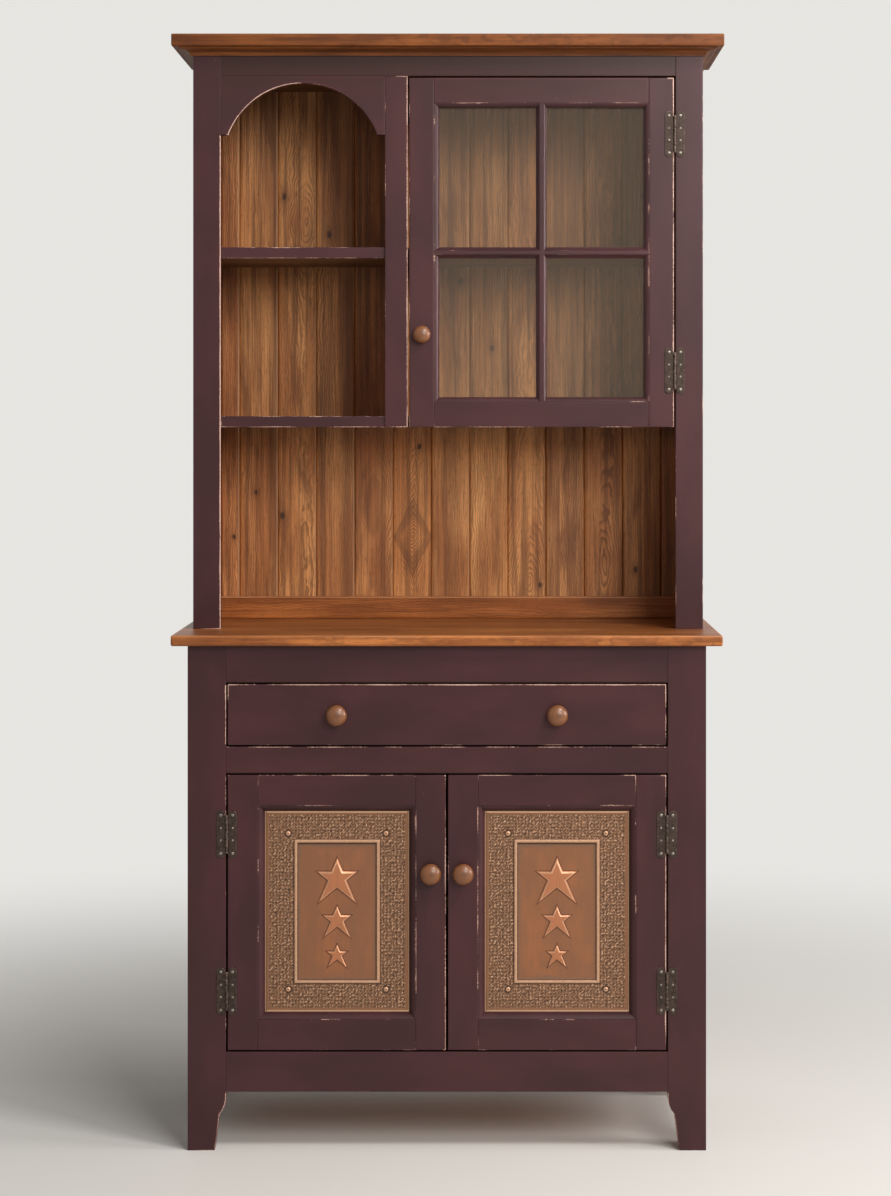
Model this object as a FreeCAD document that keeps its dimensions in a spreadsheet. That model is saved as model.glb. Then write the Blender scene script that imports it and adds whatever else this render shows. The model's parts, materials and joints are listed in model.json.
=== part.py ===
import FreeCAD, Part
import os
import re
import Sketcher
from FreeCAD import Placement, Rotation, Vector

# A step back cupboard: a deep base with two panelled doors under one drawer, a counter,
# and a shallower upper case with an arched open bay beside a glazed door.
# Millimetres.  X runs to the right, Y to the back and Z up; the floor is Z = 0.
doc = FreeCAD.newDocument("StepBackCupboard")

sizes = {
    # base case
    "base_width": 920,
    "base_depth": 420,
    "counter_height": 915,
    "counter_thick": 19,
    "counter_front_overhang": 20,
    "counter_side_overhang": 28,
    "counter_edge_round": 4,
    "frame_thick": 19,
    "side_thick": 20,
    "back_thick": 12,
    "board_thick": 18,
    "base_stile_width": 68,
    "top_rail_height": 66,
    "drawer_opening": 114,
    "mid_rail_height": 47,
    "bottom_rail_height": 71,
    "foot_height": 104,
    "foot_shoulder": 96,
    "foot_knee": 64,
    "foot_knee_inset": 11.5,
    "foot_toe_inset": 20,
    "foot_curve": 3,
    "base_shelf_height": 425,
    "shelf_cleat": 20,
    "shelf_setback": 25,
    "base_back_boards": 6,
    # upper case
    "upper_width": 930,
    "upper_depth": 290,
    "upper_height": 1059,
    "upper_side_thick": 22,
    "upper_stile_width": 50,
    "upper_rail_height": 50.4,
    "mid_stile_width": 41,
    "divider_thick": 20,
    "open_bay_width": 300,
    "niche_height": 368,
    "shelf_thick": 20,
    "middle_shelf_rise": 308.5,
    "shelf_rail_recess": 4,
    "ceiling_drop": 25,
    "ceiling_thick": 19,
    "valance_height": 107.3,
    "arch_rise": 94.3,
    "arch_flat": 14,
    "plank_count": 11,
    "edge_plank_width": 36,
    "plank_chamfer": 2,
    "splash_height": 42,
    "splash_thick": 19,
    # crown
    "crown_thick": 22,
    "crown_overhang": 36,
    "crown_edge_round": 3,
    "bed_height": 14,
    "bed_proud": 24,
    # doors
    "door_gap": 3,
    "meeting_gap": 4,
    "shelf_gap": 1,
    "door_member": 53.5,
    "door_moulding": 12,
    "moulding_drop": 1,
    "moulding_lip": 2,
    "panel_recess": 12.5,
    "copper_thick": 1.5,
    "glass_member": 46,
    "glass_moulding": 9,
    "glass_setback": 9,
    "glass_thick": 3,
    "glass_fit": 0.5,
    "bead_width": 7,
    "muntin_face": 7.5,
    "muntin_width": 20,
    "muntin_stem": 4,
    # pressed copper panel
    "frame_inset_side": 63.5,
    "frame_inset_end": 62.3,
    "frame_bead": 8.5,
    "relief": 2.5,
    "boss_radius": 5,
    "boss_offset": 10.5,
    "star_height": 83,
    "star_arm_reach": 37.4,
    "star_arm_drop": 25,
    "star_leg_reach": 35,
    "star_relief": 3,
    "star_plateau_share": 0.72,
    "top_star_rise": 96.3,
    "middle_star_rise": 10.8,
    "middle_star_share": 0.7,
    "low_star_drop": 58.2,
    "low_star_share": 0.51,
    # drawer
    "drawer_side_thick": 12,
    "drawer_side_drop": 15,
    "drawer_back_gap": 29,
    "drawer_bottom_thick": 6,
    "drawer_bottom_rise": 8,
    "drawer_side_gap": 4,
    "drawer_lift": 3,
    "slide_fit": 0.3,
    "runner_overlap": 14,
    "runner_thick": 20,
    "guide_height": 18,
    "stop_length": 16,
    # turned knobs
    "knob_reach": 28,
    "knob_radius": 18.7,
    "knob_dome": 11,
    "knob_rim_thick": 5,
    "knob_rim_round": 1.2,
    "knob_neck": 8,
    "knob_neck_bow": 0.3,
    "knob_foot_radius": 10,
    "knob_foot_thick": 3,
    "knob_neck_radius": 7.2,
    "knob_tenon_radius": 5,
    "knob_tenon_length": 14,
    "knob_fit": 0.05,
    "knob_spacing": 391,
    "door_knob_rise": 70,
    "glass_knob_reach": 25,
    "glass_knob_radius": 16,
    "glass_knob_rise": 169,
    # hinges
    "hinge_inset": 105,
    "glass_hinge_inset": 103,
    "axis_proud": 2.8,
    "leaf_width": 15,
    "leaf_height": 84,
    "leaf_thick": 1.6,
    "leaf_gap": 2.9,
    "leaf_end_bow": 0.8,
    "barrel_radius": 2.5,
    "barrel_length": 65,
    "knuckle_gap": 0.3,
    "pin_radius": 1.45,
    "pin_fit": 0.05,
    "pin_head": 1.5,
    "screw_spread": 34,
    "small_screw_spread": 11,
    "screw_head_radius": 2.6,
    "small_screw_head_radius": 1.9,
    "screw_head_height": 0.8,
    "screw_radius": 1.4,
    "screw_length": 12,
    "screw_fit": 0.1,
    # magnetic catches
    "catch_width": 30,
    "catch_height": 36,
    "catch_depth": 18,
    "catch_hang": 18,
    "catch_gap": 0.3,
    "strike_width": 16,
    "strike_thick": 0.8,
}

sheet = doc.addObject("Spreadsheet::Sheet", "Sizes")
for row, (alias, amount) in enumerate(sizes.items(), start=1):
    sheet.set("A%d" % row, alias)
    sheet.set("B%d" % row, str(amount))
    sheet.setAlias("B%d" % row, alias)
doc.recompute()

# Places that follow from the sizes, each a formula on the sheet's cells and on one another.
places = {
    "back": "(base_depth + knob_reach) / 2",
    "planks_front": "back - back_thick",
    "base_front": "back - base_depth",
    "frame_back": "base_front + frame_thick",
    "base_half": "base_width / 2",
    "base_inner": "base_half - side_thick",
    "stile_inner": "base_half - base_stile_width",
    "counter_under": "counter_height - counter_thick",
    "counter_half": "base_half + counter_side_overhang",
    "drawer_top": "counter_under - top_rail_height",
    "drawer_under": "drawer_top - drawer_opening",
    "doors_top": "drawer_under - mid_rail_height",
    "doors_under": "foot_height + bottom_rail_height",
    "shelf_front": "frame_back + shelf_setback",
    "upper_front": "back - upper_depth",
    "upper_frame_back": "upper_front + frame_thick",
    "upper_half": "upper_width / 2",
    "upper_inner": "upper_half - upper_side_thick",
    "case_top": "counter_height + upper_height",
    "rail_under": "case_top - upper_rail_height",
    "bay_left": "upper_stile_width - upper_half",
    "bay_right": "bay_left + open_bay_width",
    "bay_middle": "(bay_left + bay_right) / 2",
    "plank_pitch": "2 * (upper_inner - edge_plank_width) / plank_count",
    "door_bay_left": "bay_right + mid_stile_width",
    "door_bay_right": "upper_half - upper_stile_width",
    "divider_middle": "(bay_right + door_bay_left) / 2",
    "divider_left": "divider_middle - divider_thick / 2",
    "divider_right": "divider_middle + divider_thick / 2",
    "niche_top": "counter_height + niche_height",
    "bottom_shelf_top": "niche_top + shelf_thick",
    "middle_shelf_under": "niche_top + middle_shelf_rise",
    "middle_shelf_top": "middle_shelf_under + shelf_thick",
    "board_front": "upper_frame_back + shelf_gap",
    "valance_under": "rail_under - valance_height",
    "arch_half": "open_bay_width / 2 - arch_flat",
    "ceiling_top": "case_top - ceiling_drop",
    "ceiling_under": "ceiling_top - ceiling_thick",
    "crown_top": "case_top + crown_thick",
    "crown_half": "upper_half + crown_overhang",
    "crown_front": "upper_front - crown_overhang",
    "bed_half": "upper_half + bed_proud",
    "bed_front": "upper_front - bed_proud",
    # the glazed door
    "glass_left": "door_bay_left + door_gap",
    "glass_right": "door_bay_right - door_gap",
    "glass_top": "rail_under - door_gap",
    "sash_left": "glass_left + glass_member",
    "sash_right": "glass_right - glass_member",
    "sash_under": "niche_top + glass_member",
    "sash_top": "glass_top - glass_member",
    "muntin_x": "(glass_left + glass_right) / 2",
    "muntin_z": "(middle_shelf_under + middle_shelf_top) / 2",
    "pane_front": "upper_front + glass_setback",
    "pane_back": "pane_front + glass_thick",
    # the lower doors, as seen on the right one
    "door_near": "meeting_gap / 2",
    "door_far": "stile_inner - door_gap",
    "door_low": "doors_under + door_gap",
    "door_high": "doors_top - door_gap",
    "door_middle_x": "(door_near + door_far) / 2",
    "door_middle_z": "(door_low + door_high) / 2",
    "panel_near": "door_near + door_member",
    "panel_far": "door_far - door_member",
    "panel_low": "door_low + door_member",
    "panel_high": "door_high - door_member",
    "copper_front": "base_front + panel_recess",
    "copper_back": "copper_front + copper_thick",
    # the drawer
    "drawer_half": "stile_inner - door_gap",
    "drawer_low": "drawer_under + door_gap",
    "drawer_high": "drawer_top - door_gap",
    "drawer_outer": "stile_inner - drawer_side_gap",
    "drawer_inner": "drawer_outer - drawer_side_thick",
    "drawer_side_low": "drawer_low + drawer_lift",
    "drawer_side_high": "drawer_high - drawer_side_drop",
    "drawer_end": "planks_front - drawer_back_gap",
    "runner_top": "drawer_side_low - slide_fit",
    "runner_inner": "drawer_outer - runner_overlap",
    "runner_front": "frame_back + shelf_gap",
}


def spelled(formula):
    """Write a formula out in terms of the sheet's cells."""
    def swap(match):
        word = match.group(0)
        if word in sizes:
            return "Sizes." + word
        if word in places:
            return "(" + spelled(places[word]) + ")"
        return word
    return re.sub(r"[A-Za-z_]\w*", swap, formula)


def number(formula):
    """The value of a formula now."""
    result = sheet.evalExpression(spelled(formula))
    return float(getattr(result, "Value", result))


def bind(thing, **formulas):
    for name, formula in formulas.items():
        thing.setExpression(name, spelled(formula))


def place(thing, x="0", y="0", z="0", rotation=None):
    if rotation is not None:
        thing.Placement = Placement(Vector(), rotation)
    for axis, formula in zip("xyz", (x, y, z)):
        thing.setExpression("Placement.Base." + axis, spelled(formula))
    return thing


def box(name, x, y, z):
    """A board between two places on each axis."""
    piece = doc.addObject("Part::Box", name)
    for side, (low, high) in zip(("Length", "Width", "Height"), (x, y, z)):
        piece.setExpression(side, spelled("(%s) - (%s)" % (high, low)))
    return place(piece, x[0], y[0], z[0])


def span(side, near, far):
    """The low and high X of something from near to far of the middle, on one side of it."""
    return (near, far) if side > 0 else ("-(%s)" % far, "-(%s)" % near)


def pair(name, near, far, y, z):
    """The same board on the left and on the right."""
    return [box(name, span(side, near, far), y, z) for side in (-1, 1)]


def rod(name, radius, x, y, z, axis="z"):
    """A round bar along one axis; that axis is given as its two ends."""
    bar = doc.addObject("Part::Cylinder", name)
    low, high = {"y": y, "z": z}[axis]
    bind(bar, Radius=radius, Height="(%s) - (%s)" % (high, low))
    if axis == "y":
        return place(bar, x, low, z, Rotation(Vector(1, 0, 0), -90))
    return place(bar, x, y, low)


def joined(kind, name, pieces):
    """A Compound of separate solids, or a MultiFuse of touching ones."""
    whole = doc.addObject("Part::" + kind, name)
    if kind == "Compound":
        whole.Links = pieces
    else:
        whole.Shapes = pieces
    return whole


def cut(name, base, tool):
    piece = doc.addObject("Part::Cut", name)
    piece.Base = base
    piece.Tool = tool
    return piece


def outline(body, plane, corners):
    """A closed sketch through corners (across, up) or (across, up, bow).

    The bow is the rise of the arc from that corner to the next over half its chord, and is
    positive where the arc lies to the right of the way along the outline.
    """
    sketch = body.newObject("Sketcher::SketchObject", body.Name + "_outline")
    base = [item for item in body.Origin.OriginFeatures if item.Role == plane + "_Plane"]
    sketch.AttachmentSupport = [(base[0], "")]
    sketch.MapMode = "FlatFace"
    spots = [Vector(number(corner[0]), number(corner[1]), 0) for corner in corners]
    ends = []
    for index, corner in enumerate(corners):
        start = spots[index]
        stop = spots[(index + 1) % len(corners)]
        if len(corner) < 3:
            edge = sketch.addGeometry(Part.LineSegment(start, stop))
            ends.append((edge, 1, 2))
            continue
        bow = number(corner[2])
        run = stop - start
        middle = (start + stop) * 0.5 + Vector(run.y, -run.x, 0) * (bow / 2)
        edge = sketch.addGeometry(Part.Arc(start, middle, stop))
        first = sketch.getPoint(edge, 1)
        same_way = first.distanceToPoint(start) < first.distanceToPoint(stop)
        ends.append((edge, 1, 2) if same_way else (edge, 2, 1))
    for index, corner in enumerate(corners):
        edge, first, last = ends[index]
        following = ends[(index + 1) % len(corners)]
        sketch.addConstraint(Sketcher.Constraint("Coincident", edge, last, following[0], following[1]))
        spot = spots[index]
        for kind, value, formula in (("DistanceX", spot.x, corner[0]), ("DistanceY", spot.y, corner[1])):
            held = sketch.addConstraint(Sketcher.Constraint(kind, edge, first, value))
            sketch.setExpression("Constraints[%d]" % held, spelled(formula))
        if len(corner) == 3:
            after = corners[(index + 1) % len(corners)]
            chord = "sqrt(((%s) - (%s)) ^ 2 + ((%s) - (%s)) ^ 2)" % (
                after[0], corner[0], after[1], corner[1])
            size = "%s * (1 + (%s) ^ 2) / (4 * abs(%s))" % (chord, corner[2], corner[2])
            held = sketch.addConstraint(Sketcher.Constraint("Radius", edge, number(size)))
            sketch.setExpression("Constraints[%d]" % held, spelled(size))
    return sketch


def slab(name, plane, corners, low, high):
    """A flat piece: an outline on XY, XZ or YZ, thickened from low to high along the third axis."""
    body = doc.addObject("PartDesign::Body", name)
    pad = body.newObject("PartDesign::Pad", name + "_pad")
    pad.Profile = outline(body, plane, corners)
    bind(pad, Length="(%s) - (%s)" % (high, low))
    body.Tip = pad
    if plane == "XZ":
        return place(body, y=high)
    if plane == "YZ":
        return place(body, x=low)
    return place(body, z=low)


def eased(board, radius, keep):
    """Round the long edges of a slab that keep() picks by their middles."""
    doc.recompute()
    pad = board.Tip
    chosen = []
    for index, edge in enumerate(pad.Shape.Edges, start=1):
        if keep(edge.CenterOfMass):
            chosen.append("Edge%d" % index)
    rounding = board.newObject("PartDesign::Fillet", board.Name + "_rounding")
    rounding.Base = (pad, chosen)
    bind(rounding, Radius=radius)
    board.Tip = rounding
    return board


def turned(name, profile):
    """A lathe-turned piece: a profile of (radius, along) corners spun about its own Y axis."""
    body = doc.addObject("PartDesign::Body", name)
    sketch = outline(body, "XY", profile)
    spin = body.newObject("PartDesign::Revolution", name + "_spin")
    spin.Profile = sketch
    spin.ReferenceAxis = (sketch, ["V_Axis"])
    spin.Angle = 360
    body.Tip = spin
    return body


def mitred_ring(name, x, y, z, width, lip):
    """Four mitred mouldings inside a rectangle: full depth at the outside, a lip at the inside."""
    long_sides = {"bottom": (x, x[0], z[0], 0), "top": (x, x[1], z[1], 180)}
    short_sides = {"right": (z, x[1], z[0], -90), "left": (z, x[0], z[1], 90)}
    bars = []
    for side, (run, start_x, start_z, turn) in {**long_sides, **short_sides}.items():
        bar = doc.addObject("Part::Wedge", "%s_%s" % (name, side))
        bar.Xmin = bar.Ymin = bar.Zmin = bar.Z2min = 0
        length = "(%s) - (%s)" % (run[1], run[0])
        bind(bar, Xmax=length, Ymax=width, Zmax="(%s) - (%s)" % (y[1], y[0]))
        bind(bar, X2min=width, X2max="%s - (%s)" % (length, width), Z2max=lip)
        about = Rotation(Vector(0, 1, 0), turn).multiply(Rotation(Vector(1, 0, 0), 90))
        bars.append(place(bar, start_x, y[1], start_z, about))
    return bars


def mushroom(name, reach, radius, x, front, height):
    """A turned knob with a tenon that is glued into the wood behind it."""
    rim = "((%s) - knob_rim_round)" % radius
    rim_front = "((%s) - knob_dome)" % reach
    dome_bow = "tan(atan(knob_dome / %s) / 2)" % rim
    rim_bow = "2 * knob_rim_round / knob_rim_thick"
    body = turned(name, [
        ("0", "knob_tenon_length"),
        ("0", "-(%s)" % reach, dome_bow),
        (rim, "-" + rim_front, rim_bow),
        (rim, "knob_rim_thick - " + rim_front),
        ("knob_neck_radius", "-knob_neck", "-knob_neck_bow"),
        ("knob_foot_radius", "-knob_foot_thick"),
        ("knob_foot_radius", "0"),
        ("knob_tenon_radius", "0"),
        ("knob_tenon_radius", "knob_tenon_length"),
    ])
    return place(body, x, front, height)


def tenon_hole(name, x, front, height):
    end = "(%s) + knob_tenon_length + knob_fit" % front
    return rod(name, "knob_tenon_radius + knob_fit", x, (front, end), height, axis="y")


# ---- hinges: two leaves on the faces of the wood, a barrel in the gap and a pin in the barrel

screw_rows = (
    ("screw_spread", "screw_head_radius"),
    ("small_screw_spread", "small_screw_head_radius"),
    ("-small_screw_spread", "small_screw_head_radius"),
    ("-screw_spread", "screw_head_radius"),
)


def hinge_leaf(name, axis_x, face, height, side, outer_knuckles):
    """One leaf on the side of the axis that side says, and its screws and their pilot holes."""
    axis_y = "(%s) - axis_proud" % face
    top = "(%s) - leaf_thick" % face
    near, far = "leaf_gap", "leaf_gap + leaf_width"
    half, third = "barrel_length / 2", "barrel_length / 6"
    if side < 0:
        near, far = "-(%s)" % far, "-(%s)" % near
    left, right = "(%s) + %s" % (axis_x, near), "(%s) + %s" % (axis_x, far)
    straight = "(leaf_height - leaf_end_bow * leaf_width) / 2"
    low = "(%s) - %s" % (height, straight)
    high = "(%s) + %s" % (height, straight)
    corners = [(left, low, "leaf_end_bow"), (right, low), (right, high, "leaf_end_bow"), (left, high)]
    plate = slab(name + "_plate", "XZ", corners, top, face)
    if outer_knuckles:
        spans = [("-(%s)" % half, "-(%s)" % third), (third, half)]
    else:
        spans = [("knuckle_gap - (%s)" % third, "%s - knuckle_gap" % third)]
    pieces = [plate]
    wall_start = "(barrel_radius + pin_radius) / 2"
    for start, stop in spans:
        reach = ("(%s) + (%s)" % (height, start), "(%s) + (%s)" % (height, stop))
        if side > 0:
            tab = ("(%s) + %s" % (axis_x, wall_start), "(%s) + leaf_width / 2" % axis_x)
        else:
            tab = ("(%s) - leaf_width / 2" % axis_x, "(%s) - %s" % (axis_x, wall_start))
        pieces.append(box(name + "_tab", tab, (top, face), reach))
        pieces.append(rod(name + "_knuckle", "barrel_radius", axis_x, axis_y, reach))
    body = joined("MultiFuse", name + "_blank", pieces)
    run = ("(%s) - barrel_length" % height, "(%s) + barrel_length" % height)
    holes = [rod(name + "_bore", "pin_radius + pin_fit", axis_x, axis_y, run)]
    screws, pilots = [], []
    middle_x = "(%s) %s (leaf_gap + leaf_width / 2)" % (axis_x, "+" if side > 0 else "-")
    for offset, head in screw_rows:
        level = "(%s) + %s" % (height, offset)
        end = "(%s) + screw_length" % top
        shank = rod(name + "_shank", "screw_radius", middle_x, (top, end), level, axis="y")
        rise = ("(%s) - screw_head_height" % top, top)
        cap = rod(name + "_head", head, middle_x, rise, level, axis="y")
        screws.append(joined("MultiFuse", name + "_screw", [shank, cap]))
        wide = "screw_radius + screw_fit"
        holes.append(rod(name + "_hole", wide, middle_x, (top, face), level, axis="y"))
        bottom = end + " + screw_fit"
        pilots.append(rod(name + "_pilot", wide, middle_x, (face, bottom), level, axis="y"))
    leaf = cut(name, body, joined("Compound", name + "_holes", holes))
    return leaf, screws, pilots


def hinge_pin(name, axis_x, face, height):
    axis_y = "(%s) - axis_proud" % face
    low, high = "(%s) - barrel_length / 2" % height, "(%s) + barrel_length / 2" % height
    shaft = rod(name + "_shaft", "pin_radius", axis_x, axis_y, (low, high))
    foot = rod(name + "_foot", "barrel_radius", axis_x, axis_y, ("%s - pin_head" % low, low))
    head = rod(name + "_cap", "barrel_radius", axis_x, axis_y, (high, "%s + pin_head" % high))
    return joined("MultiFuse", name, [shaft, foot, head])


class HingeLine:
    """The two hinges of one door."""

    def __init__(self, name, axis_x, face, heights, door_side):
        self.case_leaves, self.case_screws, self.case_pilots = [], [], []
        self.door_leaves, self.door_screws, self.door_pilots = [], [], []
        self.pins = []
        for height in heights:
            spot = (axis_x, face, height)
            leaf, screws, pilots = hinge_leaf(name + "_case_leaf", *spot, -door_side, True)
            self.case_leaves.append(leaf)
            self.case_screws += screws
            self.case_pilots += pilots
            leaf, screws, pilots = hinge_leaf(name + "_leaf", *spot, door_side, False)
            self.door_leaves.append(leaf)
            self.door_screws += screws
            self.door_pilots += pilots
            self.pins.append(hinge_pin(name + "_pin", *spot))


lower_heights = ("door_high - hinge_inset", "door_low + hinge_inset")
glass_heights = ("glass_top - glass_hinge_inset", "niche_top + glass_hinge_inset")
hinges = {
    "left_door": HingeLine("left_door", "-(stile_inner - door_gap / 2)", "base_front", lower_heights, 1),
    "right_door": HingeLine("right_door", "stile_inner - door_gap / 2", "base_front", lower_heights, -1),
    "glass_door": HingeLine("glass_door", "door_bay_right - door_gap / 2", "upper_front", glass_heights, -1),
}

nodes = {}


def gather(name, pieces):
    """Name a node: one solid as it is, or several as a group of separate solids."""
    whole = pieces[0] if len(pieces) == 1 else joined("Compound", name + "_group", pieces)
    whole.Label = name
    nodes[name] = whole


# ---- base case

frame_depth = ("base_front", "frame_back")
between_stiles = ("-stile_inner", "stile_inner")
between_sides = ("-base_inner", "base_inner")


def base_stile(side):
    """A face frame stile whose foot narrows to its toe on the inner side."""
    def out(distance):
        return distance if side > 0 else "-(%s)" % distance
    curve = "%s 2 * foot_curve / (foot_shoulder - foot_knee)" % ("" if side > 0 else "-")
    return slab("base_stile", "XZ", [
        (out("stile_inner"), "counter_under"),
        (out("stile_inner"), "foot_shoulder", curve),
        (out("stile_inner + foot_knee_inset"), "foot_knee"),
        (out("stile_inner + foot_toe_inset"), "0"),
        (out("base_half"), "0"),
        (out("base_half"), "counter_under"),
    ], *frame_depth)


stiles = []
for side, door in ((-1, "left_door"), (1, "right_door")):
    pilots = joined("Compound", door + "_stile_pilots", hinges[door].case_pilots)
    stiles.append(cut("base_stile_drilled", base_stile(side), pilots))
gather("base_stiles", stiles)

base_rails = {
    "base_top_rail": ("drawer_top", "counter_under"),
    "base_mid_rail": ("doors_top", "drawer_under"),
    "base_bottom_rail": ("foot_height", "doors_under"),
}
for name, level in base_rails.items():
    gather(name, [box(name + "_board", between_stiles, frame_depth, level)])


def base_side(low, high):
    """A side board with a foot at the front and one at the back."""
    toe = "base_stile_width - foot_toe_inset"
    knee = "base_stile_width - foot_knee_inset"
    bow = "2 * foot_curve / (foot_shoulder - foot_knee)"
    return slab("base_side", "YZ", [
        ("frame_back", "0"),
        ("base_front + %s" % toe, "0"),
        ("base_front + %s" % knee, "foot_knee", bow),
        ("base_front + base_stile_width", "foot_shoulder"),
        ("back - base_stile_width", "foot_shoulder", bow),
        ("back - (%s)" % knee, "foot_knee"),
        ("back - (%s)" % toe, "0"),
        ("back", "0"),
        ("back", "counter_under"),
        ("frame_back", "counter_under"),
    ], low, high)


gather("base_sides", [base_side(*span(side, "base_inner", "base_half")) for side in (-1, 1)])
inside_depth = ("frame_back", "planks_front")
floor_level = ("doors_under - board_thick", "doors_under")
gather("base_floor", [box("base_floor_board", between_sides, inside_depth, floor_level)])

back_count = int(number("base_back_boards"))
back_edges = ["(2 * %d / base_back_boards - 1) * base_inner" % turn for turn in range(back_count + 1)]
gather("base_back", [
    box("base_back_board", edges, ("planks_front", "back"), ("foot_height", "counter_under"))
    for edges in zip(back_edges, back_edges[1:])
])

shelf_depth = ("shelf_front", "planks_front")
shelf_level = ("base_shelf_height", "base_shelf_height + board_thick")
cleat_level = ("base_shelf_height - shelf_cleat", "base_shelf_height")
gather("base_shelf", [box("base_shelf_board", between_sides, shelf_depth, shelf_level)])
gather("shelf_cleats", pair("cleat", "base_inner - shelf_cleat", "base_inner", shelf_depth, cleat_level))

# runners carry the drawer, guides keep it straight, kickers hold it level and stops end its travel
runner_run = ("runner_front", "planks_front")
stop_run = ("drawer_end + slide_fit", "drawer_end + slide_fit + stop_length")
runner_level = ("runner_top - runner_thick", "runner_top")
guide_level = ("runner_top", "runner_top + guide_height")
kicker_level = ("drawer_side_high + slide_fit", "drawer_side_high + slide_fit + runner_thick")
drawer_rails = pair("runner", "runner_inner", "base_inner", runner_run, runner_level)
drawer_rails += pair("guide", "drawer_outer + slide_fit", "base_inner", runner_run, guide_level)
drawer_rails += pair("kicker", "runner_inner", "base_inner", runner_run, kicker_level)
drawer_rails += pair("stop", "runner_inner", "drawer_outer", stop_run, guide_level)
gather("drawer_runners", drawer_rails)

counter = slab("counter_board", "XY", [
    ("-counter_half", "base_front - counter_front_overhang"),
    ("counter_half", "base_front - counter_front_overhang"),
    ("counter_half", "back"),
    ("-counter_half", "back"),
], "counter_under", "counter_height")
back_plane = number("back")
gather("counter_top", [eased(counter, "counter_edge_round", lambda middle: middle.y < back_plane - 1)])

# ---- upper case

upper_frame_depth = ("upper_front", "upper_frame_back")
upper_run = ("counter_height", "case_top")
side_depth = ("upper_frame_back", "back")
gather("upper_sides", pair("upper_side", "upper_inner", "upper_half", side_depth, upper_run))
left_stile, right_stile = pair("upper_stile", "door_bay_right", "upper_half", upper_frame_depth, upper_run)
glass_pilots = joined("Compound", "glass_stile_pilots", hinges["glass_door"].case_pilots)
gather("upper_stiles", [left_stile, cut("upper_stile_drilled", right_stile, glass_pilots)])
mid_stile_box = (("bay_right", "door_bay_left"), upper_frame_depth, ("niche_top", "rail_under"))
top_rail_box = (("bay_left", "door_bay_right"), upper_frame_depth, ("rail_under", "case_top"))
gather("upper_mid_stile", [box("mid_stile", *mid_stile_box)])
gather("upper_top_rail", [box("top_rail", *top_rail_box)])

arch_left, arch_right = "bay_middle - arch_half", "bay_middle + arch_half"
gather("arch_valance", [slab("valance", "XZ", [
    ("bay_left", "valance_under"),
    (arch_left, "valance_under", "-arch_rise / arch_half"),
    (arch_right, "valance_under"),
    ("bay_right", "valance_under"),
    ("bay_right", "rail_under"),
    ("bay_left", "rail_under"),
], *upper_frame_depth)])

inner_run = ("-upper_inner", "upper_inner")
board_run = ("board_front", "planks_front")
whole_run = ("upper_frame_back", "planks_front")
divider_run = ("divider_left", "divider_right")
gather("upper_divider", [box("divider", divider_run, whole_run, ("bottom_shelf_top", "ceiling_under"))])
gather("upper_ceiling", [box("ceiling", inner_run, whole_run, ("ceiling_under", "ceiling_top"))])
gather("upper_bottom_shelf", [box("bottom_shelf", inner_run, board_run, ("niche_top", "bottom_shelf_top"))])
middle_run = ("middle_shelf_under", "middle_shelf_top")
gather("middle_shelves", [
    box("open_shelf", ("-upper_inner", "divider_left"), board_run, middle_run),
    box("glazed_shelf", ("divider_right", "upper_inner"), board_run, middle_run),
])
bay_rail_depth = ("upper_front + shelf_rail_recess", "board_front")
gather("open_bay_rails", [
    box("bay_rail", ("bay_left", "bay_right"), bay_rail_depth, level)
    for level in (("niche_top", "bottom_shelf_top"), middle_run)
])


def plank(left, right):
    """A back board with its two front edges chamfered, so that two of them make a V."""
    return slab("plank", "XY", [
        ("(%s) + plank_chamfer" % left, "planks_front"),
        ("(%s) - plank_chamfer" % right, "planks_front"),
        (right, "planks_front + plank_chamfer"),
        (right, "back"),
        (left, "back"),
        (left, "planks_front + plank_chamfer"),
    ], "counter_height", "case_top")


count = int(number("plank_count"))
joints = ["(%d - plank_count / 2) * plank_pitch" % turn for turn in range(count + 1)]
edges = ["-upper_inner"] + joints + ["upper_inner"]
gather("back_boards", [plank(left, right) for left, right in zip(edges, edges[1:])])
gather("backsplash", [box("splash", inner_run, ("planks_front - splash_thick", "planks_front"),
                          ("counter_height", "counter_height + splash_height"))])

# ---- crown

crown = slab("crown", "XY", [
    ("-crown_half", "crown_front"),
    ("crown_half", "crown_front"),
    ("crown_half", "back"),
    ("-crown_half", "back"),
], "case_top", "crown_top")
gather("crown_board", [eased(crown, "crown_edge_round", lambda middle: middle.y < back_plane - 1)])

bed_run = ("case_top - bed_height", "case_top")
bed_pieces = [slab("bed_front_bar", "XY", [
    ("-bed_half", "bed_front"),
    ("bed_half", "bed_front"),
    ("upper_half", "upper_front"),
    ("-upper_half", "upper_front"),
], *bed_run)]
for mark in ("", "-"):
    bed_pieces.append(slab("bed_side_bar", "XY", [
        (mark + "upper_half", "upper_front"),
        (mark + "bed_half", "bed_front"),
        (mark + "bed_half", "back"),
        (mark + "upper_half", "back"),
    ], *bed_run))
gather("crown_moulding", bed_pieces)

# ---- hinge parts on the case, and the catches

lines = list(hinges.values())
gather("case_hinge_leaves", [leaf for line in lines for leaf in line.case_leaves])
gather("case_hinge_screws", [screw for line in lines for screw in line.case_screws])
gather("hinge_pins", [pin for line in lines for pin in line.pins])

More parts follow.
